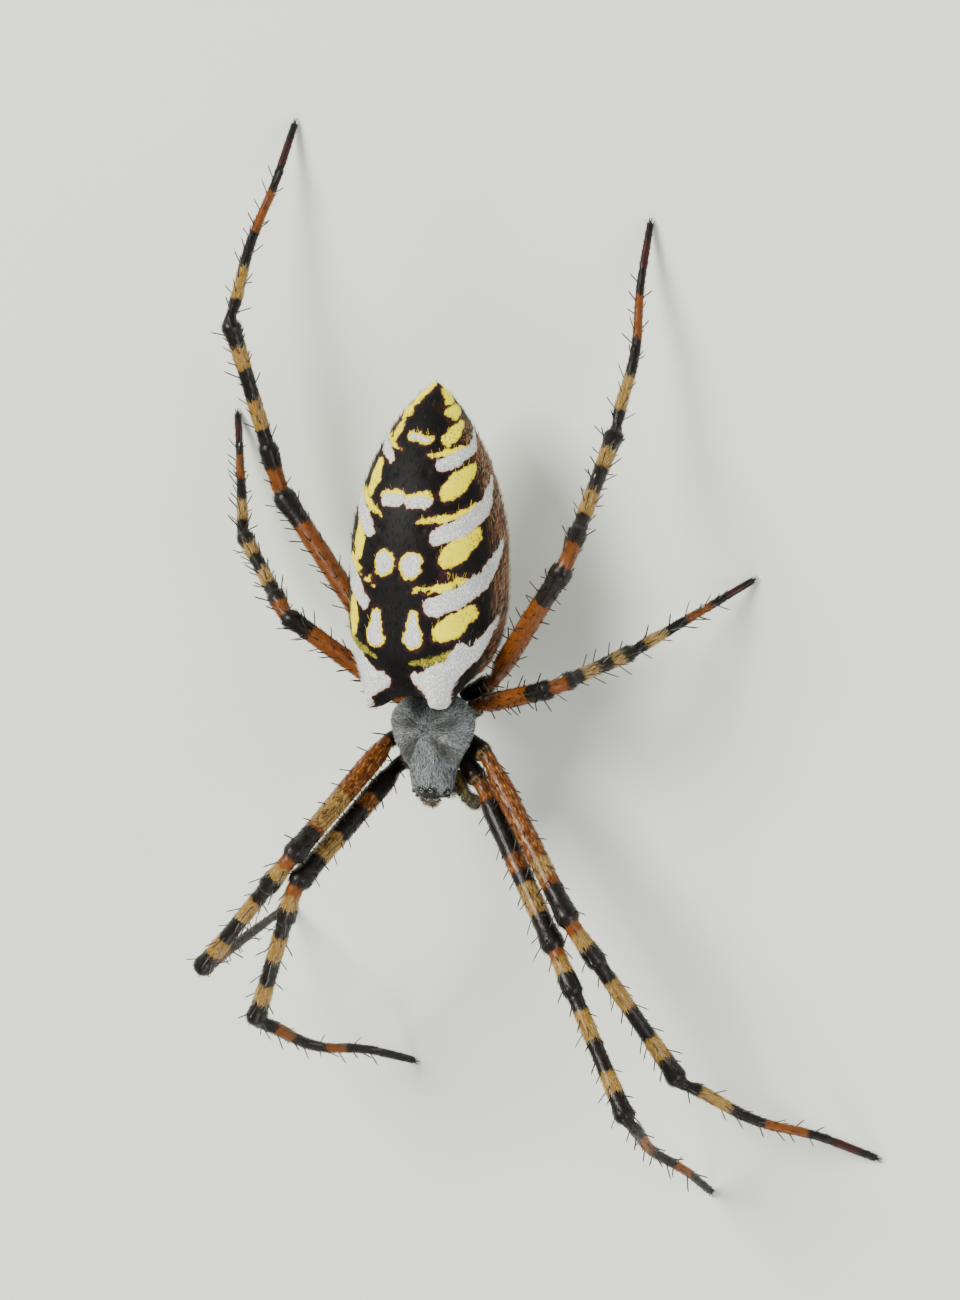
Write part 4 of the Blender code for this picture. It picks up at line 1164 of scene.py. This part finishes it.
z = np.where(upward >= 0, crest - rise + rise * np.abs(upward) ** 0.85, low_rim + (FLOOR - low_rim) * sink)
shield_mm = np.stack([x, np.broadcast_to(place_y[:, None], x.shape), z], -1)
push = np.zeros(x.shape)
reach = np.hypot(x - FOVEA[0], (shield_mm[..., 1] - FOVEA[1]) * 0.75)
push -= PIT_DEPTH * np.exp(-(reach / PIT_SPREAD) ** 2)
spread = np.arctan2(np.abs(x), -(shield_mm[..., 1] - FOVEA[1]))
for groove, depth, wide in GROOVES:
    far = np.clip((reach - 0.35) / 0.5, 0, 1) * np.clip((2.7 - reach) / 0.6, 0, 1)
    push -= depth * far * np.exp(-((spread - groove) / wide) ** 2)
push *= np.clip(upward * 3, 0, 1)
rows = shield_mm * MM + BODY
rows = rows + outward(rows) * ((push - 0.05) * MM)[..., None]

# %% Eye mounds and the tone of the shield
EYE_RADII = {"eye_front_middle": 0.150, "eye_rear_middle": 0.155,
             "eye_front_side": 0.115, "eye_rear_side": 0.125}
MOUND = 0.045
# Dark wedges run out from the pit: turn from straight ahead, breadth and strength.
WEDGES = ((0.75, 0.20, 1.0), (1.75, 0.22, 0.8), (2.6, 0.25, 0.6))
eyes = []
for name, radius in EYE_RADII.items():
    for side in ("left", "right"):
        low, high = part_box(f"{name}_{side}")
        eyes.append((f"{name}_{side}", (low + high) / 2, radius))
for _, centre, radius in eyes:
    distance = np.linalg.norm(rows - np.array(centre), axis=2, keepdims=True)
    near = np.exp(-np.clip(distance / (radius * 1.12 * MM) - 0.8, 0, None) ** 2 / 0.30)
    rows = rows + outward(rows) * near * MOUND * MM
eye_dark = np.zeros(x.shape)
for _, centre, radius in eyes:
    distance = np.linalg.norm(rows - np.array(centre), axis=2) / MM
    eye_dark = np.maximum(eye_dark, np.clip((radius * 2.3 + 0.06 - distance) / 0.08, 0, 1))
muzzle = np.clip((-4.48 - shield_mm[..., 1]) / 0.16, 0, 1) * np.clip((0.85 - np.abs(x)) / 0.2, 0, 1)
eye_dark = np.maximum(eye_dark, muzzle)
wedge = sum(strength * np.exp(-((spread - turn_out) / wide) ** 2) for turn_out, wide, strength in WEDGES)
wedge = wedge * np.clip((reach - 0.15) / 0.4, 0, 1) * np.clip((2.3 - reach) / 0.8, 0, 1)
keel = np.exp(-(x / 0.16) ** 2) * np.clip((0.2 - shield_mm[..., 1]) / 0.4, 0, 1)
tone = np.clip(1 - 0.85 * wedge + keel, 0, 1)
shield_fields = {"unrolled": shield_mm, "upper": np.clip(upward * 4 + 0.2, 0, 1) * np.ones_like(x),
                 "eye_dark": eye_dark, "tone": tone}
nose = rows[-1].mean(0) + [0, -0.05 * MM, 0]
print("carapace grid:", rows.shape[:2], "mound field up to", eye_dark.max().round(2))

# %% [markdown]
# ### Silver hair on dark shell
#
# The shell is dark brown, but it is hidden under a thick pile of flat silver-grey hair that streams
# out from the pit. Bump and colour give the close ground of it, and thousands of thin hairs give
# the strands and the soft edge. Round the eyes and on the muzzle the shell shows black.

# %% Carapace materials
shield_shell, tree, shader = new_material("carapace_shell_under_silver_hair", 0.55, 0.0, 0.15)
place = add(tree, "ShaderNodeTexCoord", take="Object")
stored = {label: add(tree, "ShaderNodeAttribute", attribute_name=label, take="Fac")
          for label in ("tone", "upper", "eye_dark")}
grain = {}
for label, lump, detail in (("strand", 0.10, 4.0), ("patch", 0.7, 3.0)):
    size = {"Vector": place, "Scale": 1 / (lump * MM), "Detail": detail}
    grain[label] = add(tree, "ShaderNodeTexNoise", size, take="Fac")
silver = lay_colour(tree, "1F1F1D", "6A6F71", grain["strand"], 0.34, 0.66)
silver = lay_colour(tree, silver, "35302A", grain["patch"], 0.40, 0.70, 0.5)
silver = add(tree, "ShaderNodeMix", {0: stored["tone"], 6: "221E17", 7: silver}, **LAID_OVER)
tint = add(tree, "ShaderNodeMix", {0: stored["upper"], 6: "1B1310", 7: silver}, **LAID_OVER)
tint = add(tree, "ShaderNodeMix", {0: stored["eye_dark"], 6: tint, 7: "050404"}, **LAID_OVER)
tree.links.new(tint, shader.inputs["Base Color"])
relief = {"Height": grain["strand"], "Strength": 0.8, "Distance": 0.05 * MM}
bump = add(tree, "ShaderNodeBump", relief, take=0)
tree.links.new(bump, shader.inputs["Normal"])
shield = skin("carapace_shell", rows, [rows[0].mean(0), nose], shield_fields, shield_shell)
settle(shield, "silver_hair", "carapace")
print("shell material nodes:", len(tree.nodes))

# %% Silver hair
SHIELD_HAIRS = 12000
random = np.random.default_rng(5)
silver_setae = hair_of("silver_setae", "454744", "AEB4B5", 0.5, "302A20")
weights = np.clip(upward * 3 + 0.25, 0, 1) * np.clip(1 - 1.3 * eye_dark, 0.005, 1) * np.ones_like(x)
roots = scatter(rows, {"unrolled": shield_mm, "tone": tone}, weights, SHIELD_HAIRS, random)
where = roots.pop("unrolled")
stream = np.stack([where[:, 0] - FOVEA[0], where[:, 1] - FOVEA[1], 0 * where[:, 0]], -1)
ahead = np.clip((-1.6 - where[:, 1]) / 1.6, 0, 1)[:, None]
stream = unit(stream) * (1 - ahead) + np.array([0, -1.0, 0]) * ahead
stream = stream + random.normal(0, 0.20, stream.shape) + np.array([0, 0, -0.25])
roots = lay(roots, (3, 13), 12, (0.13, 0.30), (0.008, 0.013), random, onward=stream)
roots["long"] = roots["long"] * np.where(where[:, 1] < -4.2, 0.5, 1.0)
pile = grow("carapace_hair", roots, silver_setae, bend=-0.08, tip=0.15)
settle(pile, "silver_hair")

# %% [markdown]
# ## Eyes
#
# Eight simple eyes, each a clear lens of cuticle over a black cup, so they look like beads of jet.
# Each lens is a dome a little flatter than a ball, seated in its mound where the solid has it.

# %% Eye lenses
eye_jet, tree, shader = new_material("eye_lens_clear_cuticle", 0.06, 1.0)
tint, _ = mottled(tree, 0.12, "050404", "140C0A")
tree.links.new(tint, shader.inputs["Base Color"])
shader.inputs["Coat Roughness"].default_value = 0.03
LENS_FLATNESS, LENS_ROOT, LENS_ROUND = 0.86, -0.62, 24
body_middle = Vector(BODY) + Vector((0, -3.6, 7.0)) * MM
lift = np.linspace(-0.45, 0.97, 14) * np.pi / 2
ring = round_turn(LENS_ROUND)
dome = np.stack([np.cos(lift)[:, None] * np.cos(ring), np.cos(lift)[:, None] * np.sin(ring),
                 np.sin(lift)[:, None] * LENS_FLATNESS * np.ones(LENS_ROUND)], -1)
poles = np.array([[0, 0, LENS_ROOT], [0, 0, LENS_FLATNESS + 0.002]])
for name, centre, radius in eyes:
    axis = (centre - body_middle).normalized()
    turned = np.array(axis.to_track_quat("Z", "Y").to_matrix())
    rows_at, poles_at = [part * radius * MM @ turned.T + np.array(centre) for part in (dome, poles)]
    settle(skin(f"{name}_lens", rows_at, poles_at, {}, eye_jet), "eye", name)
print("eyes:", len(eyes))

# %% [markdown]
# ## Jaws and feelers
#
# The jaws are two stout upright segments, each with a curved fang folded across its tip and stiff
# hair all over. The feelers beside them are like small legs without the long foot, and hairier.
# Both follow their solids, smoothed.

# %% Skin over a tube
TUBE_COAT = 0.015 * MM
TUBE_ROUND = 20
PINCH_SHARE = 0.025


def tube_skin(name, node, sides, near, material, slot, pinches=(), rows_per_mm=12):
    """A smooth skin over a tube-shaped solid, read from its rings."""
    rings = tube_rings(node, sides, near)
    centres = np.array([centre for centre, _ in rings])
    radii = np.array([radius for _, radius in rings])
    marks = lengths_along(centres)
    at = np.linspace(0, marks[-1], max(10, int(marks[-1] / MM * rows_per_mm)))
    line, girth = smooth(marks, centres, at), smooth(marks, radii, at) - TUBE_COAT
    for share, pinch in pinches:
        girth = girth * (1 - pinch * np.exp(-((at / marks[-1] - share) / PINCH_SHARE) ** 2))
    tangent = unit(np.gradient(line, axis=0))
    up, side = carry(unit(np.cross(tangent[0], [1.0, 0.2, 0.1])), tangent)
    turn = round_turn(TUBE_ROUND)
    shape = sweep(line, girth, up, side, turn)
    far = (at / MM)[:, None] * np.ones(TUBE_ROUND)
    round_it = (girth / MM)[:, None]
    tube_fields = {"unrolled": np.stack([round_it * np.cos(turn), round_it * np.sin(turn), far], -1),
                   "share": far / (marks[-1] / MM)}
    ends = [line[0] - tangent[0] * girth[0] * 0.3, line[-1] + tangent[-1] * girth[-1] * 0.5]
    settle(skin(name, shape, ends, tube_fields, material), slot, node)
    return shape, line


print("a tube skin has", TUBE_ROUND, "sides")

# %% Materials of jaws and feelers
jaw_shell, tree, shader = new_material("jaw_shell_dark_chitin", 0.33, 0.3)
unrolled = add(tree, "ShaderNodeAttribute", attribute_name="unrolled", take="Vector")
share = add(tree, "ShaderNodeAttribute", attribute_name="share", take="Fac")
speckle = add(tree, "ShaderNodeTexNoise", {"Vector": unrolled, "Scale": 1 / 0.22}, take="Fac")
tint = add(tree, "ShaderNodeMix", {0: speckle, 6: "0B0706", 7: "1C120C"}, **LAID_OVER)
frayed = add(tree, "ShaderNodeMath", [speckle, 0.2, -0.1], **TIMES_PLUS)
frayed = add(tree, "ShaderNodeMath", [share, frayed], operation="ADD", take=0)
tint = lay_colour(tree, tint, "5E3F12", frayed, 0.45, 0.72, 0.8)
tree.links.new(tint, shader.inputs["Base Color"])
palp_shell, tree, shader = new_material("palp_shell_olive_chitin", 0.40, 0.2)
unrolled = add(tree, "ShaderNodeAttribute", attribute_name="unrolled", take="Vector")
share = add(tree, "ShaderNodeAttribute", attribute_name="share", take="Fac")
speckle = add(tree, "ShaderNodeTexNoise", {"Vector": unrolled, "Scale": 1 / 0.2}, take="Fac")
tint = add(tree, "ShaderNodeMix", {0: speckle, 6: "57491F", 7: "7C6A30"}, **LAID_OVER)
olive = add(tree, "ShaderNodeMix", {0: speckle, 6: "5E5222", 7: "85763A"}, **LAID_OVER)
tint = lay_colour(tree, tint, "231A10", share, 0.50, 0.56, 0.9)
tint = lay_colour(tree, tint, olive, share, 0.64, 0.70)
tint = lay_colour(tree, tint, "1E160E", share, 0.93, 0.99)
tree.links.new(tint, shader.inputs["Base Color"])
dusky_hair = hair_of("dusky_setae", "15100C", "5A4A34")
print("feeler material nodes:", len(tree.nodes))

# %% Jaws, fangs and feelers
# Points of the left fang from the jaw's tip, in millimetres, and its radii.
FANG_PATH = np.array([(0.10, 0.05, 0.10), (0.06, 0.02, -0.14), (-0.12, 0.10, -0.20), (-0.28, 0.18, -0.10)])
FANG_RADII = np.array([0.13, 0.11, 0.07, 0.02])
JAW_HAIRS, PALP_HAIRS = 260, 900
DUSKY_LENGTH, DUSKY_THICKNESS = {"jaw": (0.16, 0.34), "palp": (0.16, 0.36)}, (0.008, 0.013)
PALP_PINCHES = ((0.30, 0.12), (0.56, 0.12), (0.68, 0.14))
above = BODY + np.array([0, -2.0, 12.0]) * MM
for side, sign in (("left", 1), ("right", -1)):
    rows, line = tube_skin(f"jaw_{side}", f"chelicera_{side}", 12, above, jaw_shell, "dark_shell")
    hooked, ends = hook(line[-1] + FANG_PATH * [sign, 1, 1] * MM, FANG_RADII * MM, 12)
    settle(skin(f"fang_{side}", hooked, ends, {}, claw_horn), "dark_shell")
    random = np.random.default_rng(11 + sign)
    roots = scatter(rows, {}, np.ones(rows.shape[:2]), JAW_HAIRS, random)
    roots = lay(roots, (25, 55), 20, DUSKY_LENGTH["jaw"], DUSKY_THICKNESS, random)
    settle(grow(f"jaw_hair_{side}", roots, dusky_hair), "dark_shell")
    near = BODY + np.array([sign * 0.4, -2.5, 5.0]) * MM
    rows, _ = tube_skin(f"palp_{side}_skin", f"palp_{side}", 10, near, palp_shell, "palp_shell", PALP_PINCHES)
    roots = scatter(rows, {}, np.ones(rows.shape[:2]), PALP_HAIRS, random)
    roots = lay(roots, (22, 48), 18, DUSKY_LENGTH["palp"], DUSKY_THICKNESS, random)
    settle(grow(f"palp_hair_{side}", roots, dusky_hair), "palp_shell")

# %% [markdown]
# ## Underside and waist
#
# Under the shield lie the breastplate, black with a yellow streak down the middle, and a soft dark
# skin that fills the gaps between the leg bases. The spinnerets stand under the tail end in a tight
# rosette of small cones. These are hidden from above and follow the species.

# %% Breastplate
PLATE_ROWS, PLATE_ROUND, PLATE_CUTS = 60, 48, 12
# How square the plate's section is, and how much smaller the skin is than the solid.
PLATE_POWER, PLATE_WIDE, PLATE_TALL = 0.7, 0.97, 0.96
low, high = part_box("sternum")
node_points = np.array([v.co for v in solids["sternum"].data.vertices])
turn = round_turn(PLATE_ROUND)
at = np.linspace(high.y, low.y, PLATE_ROWS)
widths = []
for y in np.linspace(high.y, low.y, PLATE_CUTS):
    close = node_points[np.abs(node_points[:, 1] - y) < 0.45 * MM]
    widths.append(np.abs(close[:, 0] - BODY[0]).max())
width = smooth(np.linspace(0, 1, PLATE_CUTS), widths, np.linspace(0, 1, PLATE_ROWS)) * PLATE_WIDE
middle_z, tall = (low.z + high.z) / 2, (high.z - low.z) / 2 * PLATE_TALL
across, rise = [np.sign(wave) * np.abs(wave) ** PLATE_POWER for wave in (np.cos(turn), np.sin(turn))]
flat = np.ones((PLATE_ROWS, PLATE_ROUND))
plate = np.stack([BODY[0] + width[:, None] * across, at[:, None] * flat, (middle_z + tall * rise) * flat], -1)
plate_shell, tree, shader = new_material("breastplate_black_chitin", 0.38, 0.2)
tint, speckle = mottled(tree, 0.25, "120D0B", "2A1D15", 3.0)
frayed = add(tree, "ShaderNodeMath", [speckle, 0.3, -0.15], **TIMES_PLUS)
inside = add(tree, "ShaderNodeAttribute", attribute_name="streak", take="Fac")
frayed = add(tree, "ShaderNodeMath", [inside, frayed], operation="ADD", take=0)
tint = lay_colour(tree, tint, "C9A63F", frayed, -0.02, 0.06)
tree.links.new(tint, shader.inputs["Base Color"])
off = np.abs(plate[..., 0] - BODY[0]) / MM
streak = 0.30 - off - 0.5 * np.clip(np.abs((plate[..., 1] - BODY[1]) / MM + 0.9) - 1.2, 0, None)
sternum = skin("breastplate", plate, [plate[0].mean(0), plate[-1].mean(0)],
               {"streak": np.where(plate[..., 2] < middle_z, streak, -1.0)}, plate_shell)
settle(sternum, "dark_shell", "sternum")
print("breastplate widest at", round(float(width.max() / MM), 2), "mm either side")

# %% Soft skin between the leg bases
# Half-widths and half-depths of the soft skin at places from front to back, in millimetres.
SOFT_WIDTHS = ((-4.3, 0.95), (-3.6, 1.15), (-2.6, 1.45), (-1.2, 2.0), (0.0, 2.15), (0.8, 1.6), (1.18, 0.9))
SOFT_DEPTHS = ((-4.3, 0.30), (-3.4, 0.45), (-2.6, 0.95), (0.6, 0.95), (1.18, 0.5))
SOFT_HEIGHT = 6.60
soft_skin, tree, shader = new_material("soft_joint_skin", 0.55, 0.1)
tint, folds = mottled(tree, 0.14, "17110E", "4A3626", 3.0)
tree.links.new(tint, shader.inputs["Base Color"])
bump = add(tree, "ShaderNodeBump", {"Height": folds, "Strength": 0.6, "Distance": 0.05 * MM}, take=0)
tree.links.new(bump, shader.inputs["Normal"])
at = np.linspace(1.18, -4.30, PLATE_ROWS)
wide, deep = [np.interp(at, *zip(*sizes))[:, None] for sizes in (SOFT_WIDTHS, SOFT_DEPTHS)]
core = np.stack([wide * np.cos(turn), at[:, None] * flat, SOFT_HEIGHT + deep * np.sin(turn) * 0.55], -1)
core = core * MM + BODY
pleura = skin("soft_skin_between_legs", core, [core[0].mean(0), core[-1].mean(0)], {}, soft_skin)
settle(pleura, "dark_shell")
print("soft skin rows:", len(core))

# %% Waist and spinnerets
# Each cone of the rosette: its turn, its place out from the middle and its radius in millimetres,
# and its length as a share of the solid's. The last two are the small ones in the middle.
CONES = ((0.6, 0.30, 0.21, 0.98), (2.54, 0.30, 0.21, 0.98), (3.75, 0.28, 0.19, 0.90),
         (5.67, 0.28, 0.19, 0.90), (1.57, 0.14, 0.12, 0.78), (4.71, 0.14, 0.12, 0.78))
CONE_TAPER = np.array([1.0, 0.82, 0.35])
COLLAR_RADIUS, COLLAR_ROUND = 0.60 * MM, 24
near = BODY + np.array([0, 0, 6.7]) * MM
tube_skin("waist", "pedicel", 10, near, soft_skin, "dark_shell", rows_per_mm=40)
node_points = np.array([v.co for v in solids["spinnerets"].data.vertices])
rings = tube_rings("spinnerets", 12, node_points[np.argmax(node_points[:, 2])] + [0, 0, 5 * MM])
root, tip = rings[0][0], rings[-1][0]
axis = unit(tip - root)
aside = unit(np.cross(axis, [0, 1.0, 0]))
ahead = np.cross(axis, aside)
tall = np.linalg.norm(tip - root)
turn = round_turn(COLLAR_ROUND)[:, None]
spokes = aside * np.cos(turn) + ahead * np.sin(turn)
collar = np.stack([root + axis * tall * share + spokes * COLLAR_RADIUS * (1 - 0.35 * share)
                   for share in np.linspace(0, 0.42, 8)])
collar[0] -= axis * 0.35 * MM
cones = [skin("collar", collar, [root - axis * 0.40 * MM, root + axis * tall * 0.46], {}, jaw_shell)]
for angle, off, size, length in CONES:
    spoke = (aside * np.cos(angle) + ahead * np.sin(angle)) * off * MM
    foot = root + axis * tall * 0.30 + spoke
    top_point = root + axis * tall * length + spoke * 0.55
    spun, ends = hook(np.array([foot, (foot + top_point) / 2, top_point]), size * CONE_TAPER * MM, 14)
    cones.append(skin("cone", spun, ends, {}, jaw_shell))
settle(join("spinneret_rosette", cones), "dark_shell", "spinnerets")
print("spinneret cones:", len(CONES))

# %% Genital plate
# It juts from the belly's middle line, and its points are given from its seat there, in millimetres.
PLATE_BACK = 5.2 * MM
SCAPE_PATH = np.array([(0, -0.30, 0.10), (0, -0.05, -0.16), (0, 0.35, -0.22), (0, 0.62, -0.10)])
SCAPE_RADII = np.array([0.30, 0.26, 0.18, 0.08])
belly_line = abdomen_grid[:, 3 * top]
seat = belly_line[int(np.argmin(np.abs(belly_line[:, 1] - BODY[1] - PLATE_BACK)))]
bent, ends = hook(seat + SCAPE_PATH * MM, SCAPE_RADII * MM, 16)
settle(skin("genital_plate", bent, ends, {}, claw_horn), "dark_shell")
print("genital plate seat mm:", ((seat - BODY) / MM).round(2))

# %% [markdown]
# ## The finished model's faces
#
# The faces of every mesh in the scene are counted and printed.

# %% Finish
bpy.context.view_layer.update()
total = sum(len(item.data.polygons) for item in bpy.context.scene.objects if item.type == "MESH")
print("faces in all:", total)
